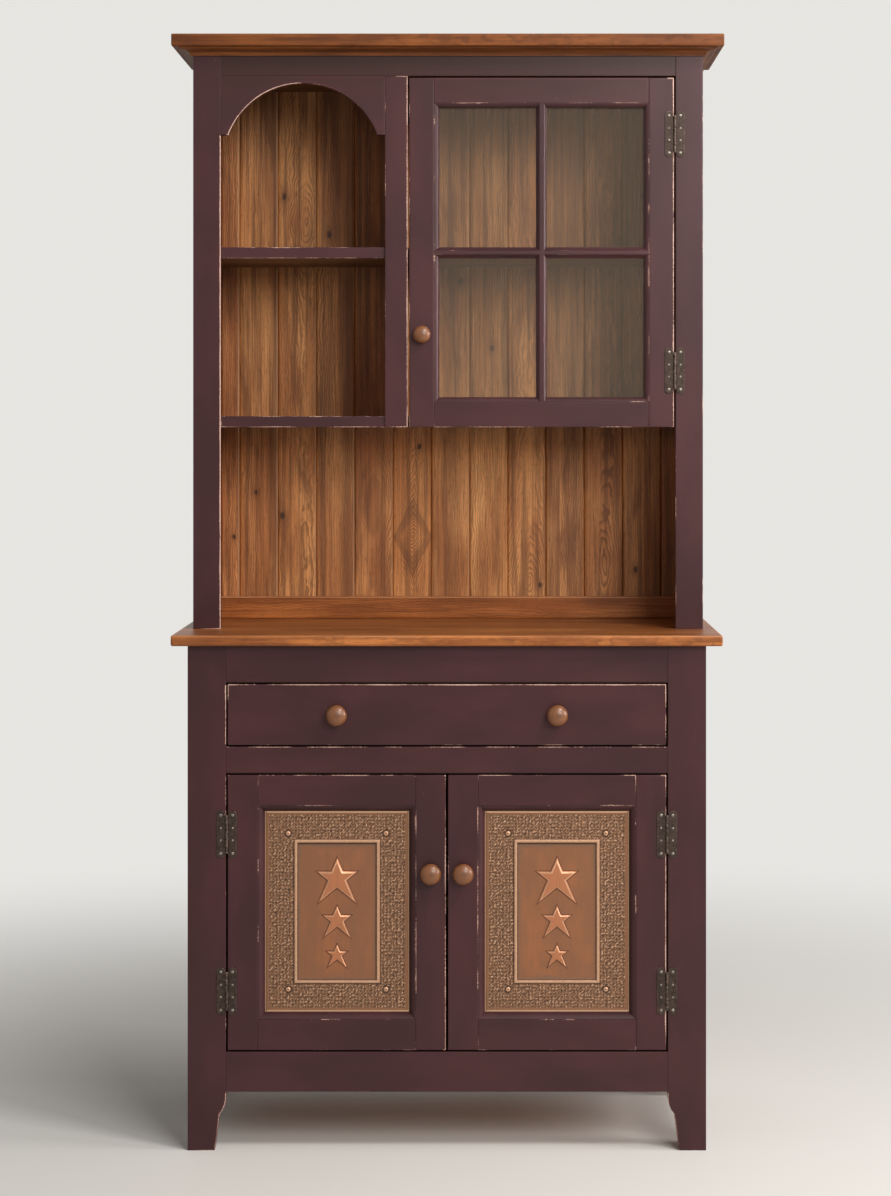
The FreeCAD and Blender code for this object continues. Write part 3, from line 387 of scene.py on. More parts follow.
woodKinds = {  # the axes are those that run across, into and along the board
    "planks": ("stained_planks", "xyz", plankLook),
    "shelves": ("stained_shelves", "yzx", plankLook),
    "sideWood": ("stained_case_side", "yxz", plankLook),
    "splash": ("stained_backsplash", "zyx", counterLook),
    "counter": ("lacquered_counter", "yzx", counterLook),
    "crown": ("stained_crown", "yzx", crownLook),
    "innerUpright": ("plain_wood_upright", "xyz", innerLook),
    "innerLevel": ("plain_wood_level", "yzx", innerLook),
    "innerDeep": ("plain_wood_deep", "xzy", innerLook),
}
finishes = {
    "paintUpright": plumPaint("plum_paint_upright", "z"),
    "paintLevel": plumPaint("plum_paint_level", "x"),
    "paintDeep": plumPaint("plum_paint_side", "z"),
    "knob": knobWood("lacquered_knob_wood"),
    "copper": pressedCopper("aged_pressed_copper"),
    "iron": darkIron("dark_hinge_iron"),
    "steel": smallParts("dull_screw_steel", steelLook),
    "plastic": smallParts("brown_catch_plastic", plasticLook),
    "glass": clearGlass("clear_window_glass"),
}
finishes.update({kind: grainedWood(*row) for kind, row in woodKinds.items()})
print("finishes made:", len(finishes))


def solids(node):  # the box of each separate solid in a node
    mesh = nodes[node].data
    numbers, index, groups = {}, [], {}
    for vertex in mesh.vertices:
        key = tuple(round(part / (0.05 * mm)) for part in vertex.co)
        index.append(numbers.setdefault(key, len(numbers)))
    owner = list(range(len(numbers)))

    def root(number):
        while owner[number] != number:
            owner[number] = owner[owner[number]]
            number = owner[number]
        return number

    for face in mesh.polygons:
        first, *others = (index[corner] for corner in face.vertices)
        for other in others:
            owner[root(other)] = root(first)
    for vertex, number in zip(mesh.vertices, index):
        groups.setdefault(root(number), []).append(vertex.co)
    boxes = [[Vector([end(part) for part in zip(*group)]) for end in (min, max)] for group in groups.values()]
    return sorted(boxes, key=lambda box: [round(box[0][axis], 4) for axis in (0, 2, 1)])


def skin(count, rings=2):  # the faces over rings of points, with both ends closed
    faces = [list(range(count))[::-1], [(rings - 1) * count + turn for turn in range(count)]]
    for start in range(0, (rings - 1) * count, count):
        for turn in range(count):
            a, b = start + turn, start + (turn + 1) % count
            faces.append([a, b, b + count, a + count])
    return faces


def circle(size, turns):  # points round a centre
    angles = [2 * math.pi * turn / turns for turn in range(turns)]
    return [(size * math.cos(angle), size * math.sin(angle)) for angle in angles]


kinds = {  # the slot name and the finish for an object of each kind, where nothing else is said; only the finish is put on the object, the slot name is not used
    "painted": ("plum_paint", "paintUpright"), "stained": ("plank_wood", "planks"),
    "plain": ("inner_wood", "innerUpright"), "pressed": ("pressed_copper", "copper"),
    "turned": ("knob_wood", "knob"), "iron": ("dark_iron", "iron"), "steel": ("bright_steel", "steel"),
    "plastic": ("catch_plastic", "plastic"), "clear": ("clear_glass", "glass"),
}


class Pile:  # collects solids, and the values that their surfaces carry, for one object
    def __init__(self):
        self.spots, self.faces, self.marks, self.values = [], [], [], {}

    def add(self, spots, faces, mark=0, **values):
        start = len(self.spots)
        self.spots += [tuple(spot) for spot in spots]
        self.faces += [[start + corner for corner in face] for face in faces]
        self.marks += mark if isinstance(mark, list) else [mark] * len(faces)
        for name, value in values.items():
            column = self.values.setdefault(name, {})
            for number in range(len(spots)):
                column[start + number] = value[number] if isinstance(value, list) else value

    def board(self, solid, mark=0, **values):  # a solid as easedSolid gives it
        spots, faces, rubbed = solid
        self.add(spots, faces, mark, wear=rubbed, **values)

    def loft(self, rings, **values):  # closed rings of points, skinned; a list holds a value for each ring
        count = len(rings[0])
        for name, value in values.items():
            if isinstance(value, list):
                values[name] = [item for item in value for turn in range(count)]
        self.add([spot for ring in rings for spot in ring], skin(count, len(rings)), **values)

    def build(self, node, kind, *looks, slot=None, name=None):  # one object, in the place of one node
        usual = kinds[kind]
        mesh = bpy.data.meshes.new(name or f"{kind}_{node}")
        mesh.from_pydata(self.spots, [], self.faces)
        for look in looks or usual[1:]:
            mesh.materials.append(finishes[look])
        mesh.polygons.foreach_set("material_index", self.marks)
        mesh.polygons.foreach_set("use_smooth", [True] * len(self.faces))
        for key, column in self.values.items():
            wide = isinstance(next(iter(column.values())), (tuple, Vector))
            layer = mesh.attributes.new(key, "FLOAT_VECTOR" if wide else "FLOAT", "POINT")
            row = [column.get(number, (0.0, 0.0, 0.0) if wide else 0.0) for number in range(len(self.spots))]
            if wide:
                layer.data.foreach_set("vector", [part for item in row for part in item])
            else:
                layer.data.foreach_set("value", row)
        mesh.validate()
        shaped = bmesh.new()
        shaped.from_mesh(mesh)
        bmesh.ops.recalc_face_normals(shaped, faces=shaped.faces)
        shaped.to_mesh(mesh)
        shaped.free()
        mesh.set_sharp_from_angle(angle=math.radians(easeLook["sharp"]))
        piece = bpy.data.objects.new(mesh.name, mesh)
        bpy.context.scene.collection.objects.link(piece)
        piece.modifiers.new("even_facets", "WEIGHTED_NORMAL").keep_sharp = True
        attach(piece, nodes[node]["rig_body"])
        slot or usual[0]
        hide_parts(node)


easeLook = {  # how far the edges are eased, and from which angle on an edge is shaded sharp
    "frame": 0.7 * mm, "door": 1.1 * mm, "backBoard": 0.8 * mm, "splash": 1.8 * mm, "counter": 3 * mm,
    "crown": 2.2 * mm, "rim": 3.2 * mm, "sharp": 52,
}


def flats(shape, eased, bend):  # the faces between the eased edges, one group for each flat
    waiting = [face for face in shape.faces if face not in eased]
    while waiting:
        group, front = set(), [waiting[0]]
        while front:
            face = front.pop()
            if face in group:
                continue
            group.add(face)
            for edge in face.edges:
                for other in edge.link_faces:
                    if other in waiting and other not in group and edge.calc_face_angle(0) < bend:
                        front.append(other)
        waiting = [face for face in waiting if face not in group]
        yield list(group)


def easedSolid(
        outline, normal, low, high, ease=easeLook["frame"], rim=easeLook["rim"], wear=1.0, corner=25,
        flat=None):
    # an outline thickened along one axis, its edges eased, each flat kept inside a narrow rim
    at = "xyz".index(normal)
    shape = bmesh.new()
    near, far = ([shape.verts.new((*spot[:at], end, *spot[at:])) for spot in outline] for end in (low, high))
    shape.faces.new(near)
    shape.faces.new(far[::-1])
    for turn in range(len(outline)):
        shape.faces.new([near[turn - 1], near[turn], far[turn], far[turn - 1]])
    bmesh.ops.recalc_face_normals(shape, faces=shape.faces)
    bend = math.radians(corner)
    sharp = [edge for edge in shape.edges if edge.calc_face_angle(0) > bend]
    made = bmesh.ops.bevel(
        shape, geom=sharp, offset=ease, segments=2, profile=0.5, affect="EDGES", clamp_overlap=True)
    calm = set()
    for group in flats(shape, set(made["faces"]), bend):
        spots = [vertex.co for face in group for vertex in face.verts]
        sizes = sorted(max(s[axis] for s in spots) - min(s[axis] for s in spots) for axis in range(3))
        width = min(rim, sizes[1] * 0.36)  # the narrower side of the flat limits its rim
        if width > 0.2 * mm:
            bmesh.ops.inset_region(
                shape, faces=group, thickness=width, use_even_offset=True, use_boundary=True)
            calm.update(vertex for face in group for vertex in face.verts)
    shape.verts.index_update()
    spots = [vertex.co.copy() for vertex in shape.verts]
    faces = [[vertex.index for vertex in face.verts] for face in shape.faces]
    # each point's value: wear above 0, painted shade below 0
    rubbed = []
    for vertex in shape.verts:
        amount = (flat or 0.0) if vertex in calm else wear
        rubbed.append(amount(vertex.co) if callable(amount) else amount)
    shape.free()
    return spots, faces, rubbed


def easedBox(low, high, ease=easeLook["frame"], levels=(), **more):
    # a board; levels are the heights where the wear of its sides changes
    outline = [(low.x, low.z), (high.x, low.z)] + [(high.x, level) for level in levels]
    outline += [(high.x, high.z), (low.x, high.z)] + [(low.x, level) for level in levels[::-1]]
    return easedSolid(outline, "y", low.y, high.y, ease, **more)


edgeReach, endReach, levelReach = 2.2 * mm, 2 * mm, 3 * mm  # how near a place its wear is read


def around(*heights):  # a level just below and just above each height
    return [height + step for height in heights for step in (-levelReach, levelReach)]


def edgeWearAndShade(low, high, left=0, right=0, top=0, bottom=0, behind=0.4, zone=None):
    # how hard each edge of a board is rubbed; a strength below 0 stands for painted shade along that edge,
    # beside a gap or under the crown
    def wear(spot):
        sides = (
            (left, spot.x - low.x), (right, high.x - spot.x), (top, high.z - spot.z),
            (bottom, spot.z - low.z))
        amount = max([0.0] + [rubbed for rubbed, gap in sides if gap < edgeReach], key=abs)
        if zone:
            amount = zone(spot, amount)
        return amount * (behind if spot.y > low.y + edgeReach else 1)
    return wear


def grainValues(
        draw, box, order, eye=None, steep=0.05, tone=1.0, knots=(), pith=None, band=(0, 0, 0),
        streak=(0, 0, 0), pointed=0.0):
    # what makes one board's figure: where its heart runs, its knots, its dark bands and its shade
    low, high = box
    across, _, along = ("xyz".index(letter) for letter in order)
    width = high[across] - low[across]
    beside = (low[across] + high[across]) / 2 + draw.choice((-1, 1)) * draw.uniform(0.75, 1.7) * width
    heart = beside if pith is None else pith
    middle = draw.uniform(low[along], high[along]) if eye is None else eye
    first, second = (list(knots) + [(0.0, 0.0, 0.0)] * 2)[:2]
    return {
        "seed": draw.uniform(0, 9), "figure": (heart, middle, steep),
        "tone": (tone, tone, tone) if isinstance(tone, (int, float)) else tone,
        "knotA": first, "knotB": second, "pointed": float(pointed),
        "band": tuple(map(float, band)), "streak": tuple(map(float, streak)),
    }


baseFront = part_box("base_stiles")[0].y
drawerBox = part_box("drawer_front")
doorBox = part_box("left_door_stiles")
stileInner = -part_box("base_mid_rail")[0].x
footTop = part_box("base_bottom_rail")[0].z
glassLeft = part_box("glass_door_stiles")[0].x
# painted shade: heavier towards the crown, and along the rail's lower edge above the glass door
paintedShadeLook = {"from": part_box("upper_top_rail")[0].z - 60 * mm, "below": -0.3, "paintedShadeUnderCrown": -1.0, "edge": -0.8}


def paintedShadeUnderCrown(spot):  # painted shade, heavier towards the crown
    look = paintedShadeLook
    share = (spot.z - look["from"]) / (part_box("upper_top_rail")[1].z - look["from"])
    return 0.0 if share < 0 else look["below"] + (look["paintedShadeUnderCrown"] - look["below"]) * share


def overGlass(spot, amount):  # painted shade along the rail's lower edge only above the glass door; further left the rail takes the shade under the crown
    return amount if spot.x > glassLeft or amount > paintedShadeLook["edge"] else paintedShadeUnderCrown(spot)


def doorRim(spot, amount, most=0.74):  # a rail is rubbed less beside its panel than on the door's own edge
    ownEdge = spot.z > doorBox[1].z - levelReach or spot.z < doorBox[0].z + levelReach
    return amount if ownEdge else min(amount, most)


boardWearAndShade = {  # how hard the edges of each board are rubbed; below 0 is painted shade along the edge
    "base_top_rail": {"top": 0.2, "bottom": -0.8},
    "base_mid_rail": {"top": 0.97, "bottom": -0.8},
    "base_bottom_rail": {"top": 0.74, "bottom": 0.8},
    "upper_top_rail": {"top": -0.6, "bottom": paintedShadeLook["edge"], "zone": overGlass, "flat": paintedShadeUnderCrown},
    "upper_mid_stile": {"left": 0.9, "right": 1.18, "bottom": 0.8},
    "open_bay_rails": {"left": 0.3, "right": 0.3, "top": 0.98, "bottom": 1.02},
    "drawer_front": {"left": -0.7, "right": 0.9, "top": 1.12, "bottom": 0.8},
    "left_door_rails": {"top": 0.96, "bottom": 0.86, "zone": doorRim},
    "right_door_rails": {"top": 0.96, "bottom": 0.86, "zone": doorRim},
    "glass_door_rails": {"top": 0.62, "bottom": 0.95, "flat": paintedShadeUnderCrown},
}


def paintedBoards(node, flat=None, **strengths):
    pile = Pile()
    ease = easeLook["door" if node == "drawer_front" else "frame"]
    for low, high in solids(node):
        pile.board(easedBox(low, high, ease, wear=edgeWearAndShade(low, high, **strengths), flat=flat))
    pile.build(node, "painted", "paintUpright" if "stile" in node else "paintLevel")


for node, strengths in boardWearAndShade.items():
    paintedBoards(node, **strengths)

stileWearAndShade = {  # the door's own edges, then the two inner edges between the rails; below 0 is painted shade in the gap
    "left_door": ({"left": -0.7, "right": 1.04, "top": 0.96, "bottom": 0.86}, (0.78, 0.98)),
    "right_door": ({"left": 0.84, "right": 1.1, "top": 0.96, "bottom": 0.86}, (1.0, 0.8)),
    "glass_door": ({"left": 0.88, "right": 1.14, "top": 0.62, "bottom": 0.95}, (0.86, 0.92)),
}


def doorStiles(door, outer, inner):  # the inner edge shows wear only between the rails
    pile = Pile()
    rails = door + "_rails"
    inside = [corner.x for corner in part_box(rails)]
    levels = sorted(box[end].z for box in solids(rails) for end in (0, 1))[1:3]

    def zone(spot, amount):
        for edge, rubbed in zip(inside, inner):
            if abs(spot.x - edge) < endReach:
                return rubbed if levels[0] < spot.z < levels[1] else 0
        return amount
    for low, high in solids(door + "_stiles"):
        wear = edgeWearAndShade(low, high, zone=zone, **outer)
        pile.board(easedBox(low, high, easeLook["door"], around(*levels), wear=wear))
    pile.build(door + "_stiles", "painted")


for door, (outer, inner) in stileWearAndShade.items():
    doorStiles(door, outer, inner)

footLook = {
    "shoulder": 96 * mm, "knee": 64 * mm, "kneeInset": 11.5 * mm, "toeInset": 20 * mm, "bulge": 3 * mm,
    "points": 7,
}
footWearAndShade = {  # beside the drawer and the doors: left stile, then right stile; below 0 is painted shade in the gap
    "drawer": (1.3, -0.7), "door": (0.9, -0.7), "foot": 1.05, "footOutside": 0.86, "outside": 0.72,
}


def footCurve(start, way):  # points of the shallow arc from the shoulder down to the knee
    look = footLook
    near, far = Vector((start, look["shoulder"])), Vector((start + way * look["kneeInset"], look["knee"]))
    chord = far - near
    out = Vector((chord.y, -chord.x)).normalized()
    points = []
    for turn in range(look["points"]):
        share = turn / (look["points"] - 1)
        points.append(tuple(near + chord * share + out * 4 * share * (1 - share) * look["bulge"]))
    return points


def baseStiles():
    look, wornAndPaintedLight = footLook, footWearAndShade
    pile = Pile()
    low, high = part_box("base_stiles")
    for side in (-1, 1):
        turns = around(footTop, doorBox[0].z, doorBox[1].z, drawerBox[0].z, drawerBox[1].z)
        points = [(stileInner, level) for level in [high.z] + turns[::-1]] + footCurve(stileInner, 1) + [
            (stileInner + look["toeInset"], 0), (high.x, 0), (high.x, high.z)]
        outline = [(side * x, z) for x, z in points][::side]

        def wear(spot):
            inner = abs(spot.x) < stileInner + look["toeInset"] + levelReach
            amount = wornAndPaintedLight["outside"]
            if spot.z > high.z - endReach:
                amount = 0
            elif spot.z < footTop:
                amount = wornAndPaintedLight["foot"] if inner else wornAndPaintedLight["footOutside"]
            elif inner:
                amount = 0
                for box, name in ((drawerBox, "drawer"), (doorBox, "door")):
                    if box[0].z < spot.z < box[1].z:
                        amount = wornAndPaintedLight[name][side > 0]
            return amount * (0.5 if spot.y > low.y + endReach else 1)
        pile.board(easedSolid(outline, "y", low.y, high.y, wear=wear))
    pile.build("base_stiles", "painted")


sideLook = {  # the look and shade inside, then the wear at the feet, on the other edges and inside
    "base_sides": {
        "seed": 11, "inside": "innerUpright", "tone": 0.9, "foot": 1.05, "edge": 0.95, "within": 0.6},
    "upper_sides": {
        "seed": 12, "inside": "sideWood", "tone": 0.8, "foot": 0.95, "edge": 0.95, "within": 0},
}


def caseSides(node):  # painted outside, bare or stained wood inside
    look, foot = sideLook[node], footLook
    pile = Pile()
    draw = random.Random(look["seed"])
    for low, high in solids(node):
        outward = 1 if low.x > 0 else -1

        def wear(spot):
            if spot.z > high.z - endReach or spot.y < low.y + endReach:
                return 0
            outside = (spot.x - (low.x + high.x) / 2) * outward > 0
            return look["foot" if spot.z < footTop else "edge"] * (1 if outside else look["within"])
        if node == "base_sides":
            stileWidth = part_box("base_stiles")[1].x - stileInner
            front, back = baseFront + stileWidth, high.y - stileWidth
            curve = footCurve(front, -1)
            outline = [(low.y, 0), (front - foot["toeInset"], 0)] + curve[::-1]
            outline += [(front + back - y, z) for y, z in curve] + [(back + foot["toeInset"], 0)]
            outline += [(high.y, 0), (high.y, high.z), (low.y, high.z)]
            solid = easedSolid(outline, "x", low.x, high.x, wear=wear)
        else:
            solid = easedBox(low, high, wear=wear)
        inner = low.x if outward > 0 else high.x
        marks = []
        for face in solid[1]:
            middle = sum(solid[0][corner].x for corner in face) / len(face)
            marks.append(int((middle - inner) * outward < 0.3 * mm))
        pile.board(solid, marks, **grainValues(draw, (low, high), "yxz", tone=look["tone"]))
    pile.build(node, "painted", "paintDeep", look["inside"])


# door: painted shade in the gap beside the glass door
upperWearAndShade = {"left": 0.78, "right": 0.9, "bottom": 0.8, "bay": 1.5, "arch": 0.3, "niche": 0.92, "door": -0.7}


def upperStiles():
    wornAndPaintedLight = upperWearAndShade
    pile = Pile()
    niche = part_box("upper_mid_stile")[0].z
    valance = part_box("arch_valance")[0].z
    for low, high in solids("upper_stiles"):
        leftOne = low.x < 0

        def zone(spot, amount):
            if leftOne and spot.x > high.x - endReach:
                return wornAndPaintedLight["bay"] if spot.z < valance else wornAndPaintedLight["arch"]
            if not leftOne and spot.x < low.x + endReach:
                return wornAndPaintedLight["niche"] if spot.z < niche else wornAndPaintedLight["door"]
            return amount
        wear = edgeWearAndShade(
            low, high, left=wornAndPaintedLight["left"], right=wornAndPaintedLight["right"], bottom=wornAndPaintedLight["bottom"], zone=zone)
        pile.board(easedBox(low, high, levels=around(niche, valance), wear=wear))
    pile.build("upper_stiles", "painted")


archLook = {
    "flat": 14 * mm, "rise": 94.3 * mm, "steps": 48, "rim": 3 * mm, "wearLeft": 1.36, "wearRight": 0.84,
}


def archValance():
    look = archLook
    low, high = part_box("arch_valance")
    middle = (low.x + high.x) / 2
    half = (high.x - low.x) / 2 - look["flat"]
    radius = (half ** 2 + look["rise"] ** 2) / (2 * look["rise"])
    centre = low.z + look["rise"] - radius
    start = math.asin(half / radius)
    angles = [start * (2 * turn / look["steps"] - 1) for turn in range(look["steps"] + 1)]
    outline = [(low.x, low.z)]
    outline += [(middle + radius * math.sin(angle), centre + radius * math.cos(angle)) for angle in angles]
    outline += [(high.x, low.z), (high.x, high.z), (low.x, high.z)]

    def wear(spot):
        if spot.z > high.z - endReach or spot.x < low.x + endReach or spot.x > high.x - endReach:
            return 0
        wornAndPaintedLight = look["wearLeft" if spot.x < middle else "wearRight"]
        return wornAndPaintedLight * (0.6 if spot.y > low.y + endReach else 1)
    pile = Pile()
    # painted shade under the crown across the flat face
    pile.board(easedSolid(outline, "y", low.y, high.y, rim=look["rim"], wear=wear, flat=paintedShadeUnderCrown))
    pile.build("arch_valance", "painted", "paintLevel")


baseStiles()
caseSides("base_sides")
caseSides("upper_sides")
upperStiles()
archValance()
print("painted boards made")

mouldingLook = {
    "fillet": 1.3 * mm, "quirk": 0.5 * mm, "swell": 0.9 * mm, "lip": 2 * mm, "wear": 0.86, "paintedShade": 1.0,
    "mitreGap": 0.12 * mm, "barPaintedShade": (0.3, 1, 1, 0.15),  # less painted shade on the lower bar and the left one, which face the light
    "widths": {"left_door_moulding": 12 * mm, "right_door_moulding": 12 * mm, "glass_door_moulding": 9 * mm},
}


def mitredBars(pile, x, z, profile):  # profile holds (inwards, depth, wear) points; a wear below 0 is painted shade
    look = mouldingLook
    corners = ((x[0], z[0], 1, 1), (x[1], z[0], -1, 1), (x[1], z[1], -1, -1), (x[0], z[1], 1, -1))
    for turn, paintedShade in enumerate(look["barPaintedShade"]):
        rings = []
        for end in (0, 1):
            cornerX, cornerZ, wayX, wayZ = corners[(turn + end) % 4]
            nextX, nextZ = corners[(turn + 1 - end) % 4][:2]
            along = Vector((nextX - cornerX, 0, nextZ - cornerZ)).normalized() * look["mitreGap"]
            rings += [
                Vector((cornerX + wayX * inwards, depth, cornerZ + wayZ * inwards)) + along
                for inwards, depth, wear in profile]
        wears = [wear * (paintedShade if wear < 0 else 1) for inwards, depth, wear in profile]
        pile.add(rings, skin(len(profile)), wear=wears * 2)


def slopedBar(start, finish, swell, steps=6):  # a slightly swelling slope between (inwards, depth) points
    run, fall = finish[0] - start[0], finish[1] - start[1]
    points = []
    for turn in range(steps + 1):
        share = turn / steps
        out = 4 * share * (1 - share) * swell * 0.7  # 0.7 in each of the two directions
        points.append((start[0] + run * share + out, start[1] + fall * share - out))
    return points


def panelMoulding(node, width):
    look = mouldingLook
    low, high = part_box(node)
    fillet, foot, quirk, wornAndPaintedLight = look["fillet"], high.y - look["lip"], low.y + look["quirk"], look["wear"]
    profile = [(0.0, low.y, wornAndPaintedLight), (fillet, low.y, wornAndPaintedLight), (fillet + 0.2 * mm, quirk, 0.2)]
    slope = slopedBar((fillet + 0.7 * mm, quirk), (width - 1.1 * mm, foot), look["swell"])
    # the slope's lower points take painted shade, deepest at the foot of the recess
    for turn, (inwards, depth) in enumerate(slope):
        profile.append((inwards, depth, 0.3 if turn < 3 else -look["paintedShade"] * (turn - 2) / 4))
    profile += [(width - 0.2 * mm, foot, -look["paintedShade"]), (width, foot + 0.3 * mm, -look["paintedShade"])]
    profile += [(width, high.y, 0.0), (0.0, high.y, 0.0)]
    pile = Pile()
    mitredBars(pile, (low.x, high.x), (low.z, high.z), profile)
    pile.build(node, "painted")


for node, width in mouldingLook["widths"].items():
    panelMoulding(node, width)

muntinLook = {
    "face": 7.5 * mm, "width": 20 * mm, "stem": 4 * mm, "putty": 9 * mm, "swell": 0.7 * mm, "sunk": 0.12 * mm,
}


def muntins():  # an upright and a level bar, halved where they cross
    look = muntinLook
    low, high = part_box("glass_door_muntins")
    middleX, middleZ = (low.x + high.x) / 2, (low.z + high.z) / 2
    face, wide, stem = look["face"] / 2, look["width"] / 2, look["stem"] / 2
    shoulder = low.y + look["putty"]
    half = [(face - 0.8 * mm, low.y, 0.3), (face - 0.3 * mm, low.y, 0.85), (face, low.y + 0.4 * mm, 0.85)]
    half += [(face + 0.2 * mm, low.y + 1.2 * mm, 0.0)]
    slope = slopedBar((face + 0.6 * mm, low.y + 0.9 * mm), (wide - mm, shoulder - 1.6 * mm), look["swell"])
    half += [(across, deep, 0.1) for across, deep in slope]
    half += [(wide, shoulder - 1.3 * mm, 0.7), (wide, shoulder, 0.0)]
    half += [(stem, shoulder, 0.0), (stem, high.y, 0.0)]
    profile = half + [(-across, deep, wear) for across, deep, wear in half[::-1]]
    faces, wears = skin(len(profile)), [wear for across, deep, wear in profile] * 2
    pile = Pile()
    pile.add(
        [(middleX + across, deep, level) for level in (low.z, high.z) for across, deep, wear in profile],
        faces, wear=wears)
    sunk = [(across, deep + look["sunk"] * (deep < shoulder)) for across, deep, wear in profile]
    pile.add(
        [(x, deep, middleZ + across) for x in (low.x, high.x) for across, deep in sunk], faces, wear=wears)
    pile.build("glass_door_muntins", "painted", name="painted_muntins")


muntins()
print("mouldings made")

plankFigures = [  # from the left: shade, heart, eye, dark bands and knots (across, along, size), in metres
    {"tone": (0.92, 0.80, 0.72), "knots": [(-0.4175, 1.071, 0.0042)]},
    {"tone": (0.98, 0.95, 0.9), "knots": [(-0.375, 1.157, 0.0036)], "streak": (-0.338, 0.009, 0.6),
     "steep": 0.03},
    {"tone": (1.08, 1.06, 1.0), "knots": [(-0.3245, 1.112, 0.0056), (-0.3206, 1.728, 0.0052)], "eye": 1.68,
     "steep": 0.34, "pith": -0.277, "pointed": 0.2},
    {"tone": (1.0, 0.98, 0.94), "knots": [(-0.2335, 1.655, 0.006)], "streak": (-0.198, 0.011, 0.55)},
    {"tone": (0.86, 0.78, 0.72), "eye": 1.13, "steep": 0.36, "pith": -0.148, "pointed": 0.7,
     "band": (0.017, 0.007, 0.26)},
    {"tone": (1.2, 1.17, 1.08), "eye": 1.071, "steep": 0.72, "pith": -0.069, "pointed": 0.85,
     "band": (0.037, 0.0095, 0.46), "knots": [(-0.06, 1.245, 0.004)]},
    {"tone": (0.94, 0.88, 0.82), "streak": (0.004, 0.012, 0.35), "knots": [(0.02, 1.565, 0.005)],
     "steep": 0.1},
    {"tone": (1.1, 1.1, 1.05), "steep": 0.03, "knots": [(0.08, 1.435, 0.0045)]},
    {"tone": (1.03, 0.98, 0.92), "eye": 0.985, "steep": 0.5, "pith": 0.152, "pointed": 0.3,
     "knots": [(0.173, 0.978, 0.004)]},
    {"tone": (0.88, 0.83, 0.78), "streak": (0.24, 0.014, 0.4)},
    {"tone": (0.96, 0.91, 0.86), "eye": 1.02, "steep": 0.3, "pith": 0.3},
    {"tone": (0.8, 0.75, 0.7), "knots": [(0.3575, 1.0074, 0.0045)], "streak": (0.4, 0.012, 0.5)},
    {"tone": (0.6, 0.54, 0.5)},
]
plankLayout = {
    "edgeBoard": 36 * mm, "count": 11, "chamfer": 2.4 * mm, "gap": 0.15 * mm, "rim": 3 * mm,
    # the pale chamfer colour is painted highlight, stronger on the joints listed in brightJoints
    "brightJoints": (0, 1, 2, 3, 4, 6), "bright": 1.3, "dull": 0.85,
}
plankPaintedShade = {"open": 1.12, "corner": 0.68, "cornerDepth": 46 * mm, "top": 0.58, "topDepth": 165 * mm}


def plankLevels(low, high):  # heights and shades: painted shade where the planks meet a shelf and under the ceiling; the planks of the open lower bay a little lighter
    look = plankPaintedShade
    levels = [(low, look["open"])]
    for node, bright in (("upper_bottom_shelf", look["open"]), ("middle_shelves", 1.0)):
        under, over = (corner.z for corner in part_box(node))
        levels += [(under - look["cornerDepth"], bright), (under, look["corner"]), (over, 1.0)]
    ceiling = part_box("upper_ceiling")[0].z
    return levels + [(ceiling - look["topDepth"], 1.0), (ceiling, look["top"]), (high, look["top"])]


def backBoards():
    layout = plankLayout
    low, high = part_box("back_boards")
    first, last = low.x + layout["edgeBoard"], high.x - layout["edgeBoard"]
    pitch = (last - first) / layout["count"]
    edges = [low.x] + [first + turn * pitch for turn in range(layout["count"] + 1)] + [high.x]
    draw = random.Random(21)
    cut, gap, rim = layout["chamfer"], layout["gap"], layout["rim"]
    levels = plankLevels(low.z, high.z)
    pile = Pile()
    for place, (left, right) in enumerate(zip(edges, edges[1:])):
        # painted highlight on the chamfers, stronger on the listed joints
        wornAndPaintedLight = layout["bright" if place in layout["brightJoints"] else "dull"]
        left, right = left + gap, right - gap
        outline = [
            (left + cut, low.y, 0.0), (left + cut + rim, low.y, 0.0), (right - cut - rim, low.y, 0.0),
            (right - cut, low.y, 0.7 * wornAndPaintedLight), (right, low.y + cut, 0.9 * wornAndPaintedLight), (right + gap, high.y, 0.0),
            (left - gap, high.y, 0.0), (left, low.y + cut, 0.1)]
        box = Vector((left, low.y, low.z)), Vector((right, high.y, high.z))
        values = grainValues(draw, box, "xyz", **plankFigures[place])
        # painted shade, on the front faces only
        values["tone"] = [
            tuple(part * (shade if y < high.y else 1) for part in values["tone"])
            for level, shade in levels for x, y, wear in outline]
        pile.add(
            [(x, y, level) for level, shade in levels for x, y, wear in outline],
            skin(len(outline), len(levels)), wear=[wear for x, y, wear in outline] * len(levels), **values)
    pile.build("back_boards", "stained", name="stained_back_planks")


splashLook = {"seed": 32, "tone": (1.14, 1.1, 1.02), "paleEdge": 2.4 * mm}
boardLooks = (  # node, look, seed of the grain, shade, and how much of that shade its lower half keeps, as painted shade on the underside
    ("upper_bottom_shelf", "shelves", 35, 0.6, 0.45), ("middle_shelves", "shelves", 36, 0.55, 0.5),
    ("upper_ceiling", "shelves", 37, 0.55, 0.5), ("upper_divider", "sideWood", 38, 0.8, 1.0),
    ("base_floor", "innerLevel", 39, 1.0, 1.0), ("base_shelf", "innerLevel", 40, 1.0, 1.0),
    ("shelf_cleats", "innerDeep", 41, 1.0, 1.0), ("drawer_sides", "innerDeep", 42, 1.0, 1.0),
    ("drawer_back", "innerLevel", 43, 1.0, 1.0), ("drawer_bottom", "innerLevel", 44, 1.0, 1.0),
    ("left_door_panel_backer", "innerUpright", 45, 1.0, 1.0),
    ("right_door_panel_backer", "innerUpright", 45, 1.0, 1.0),
)


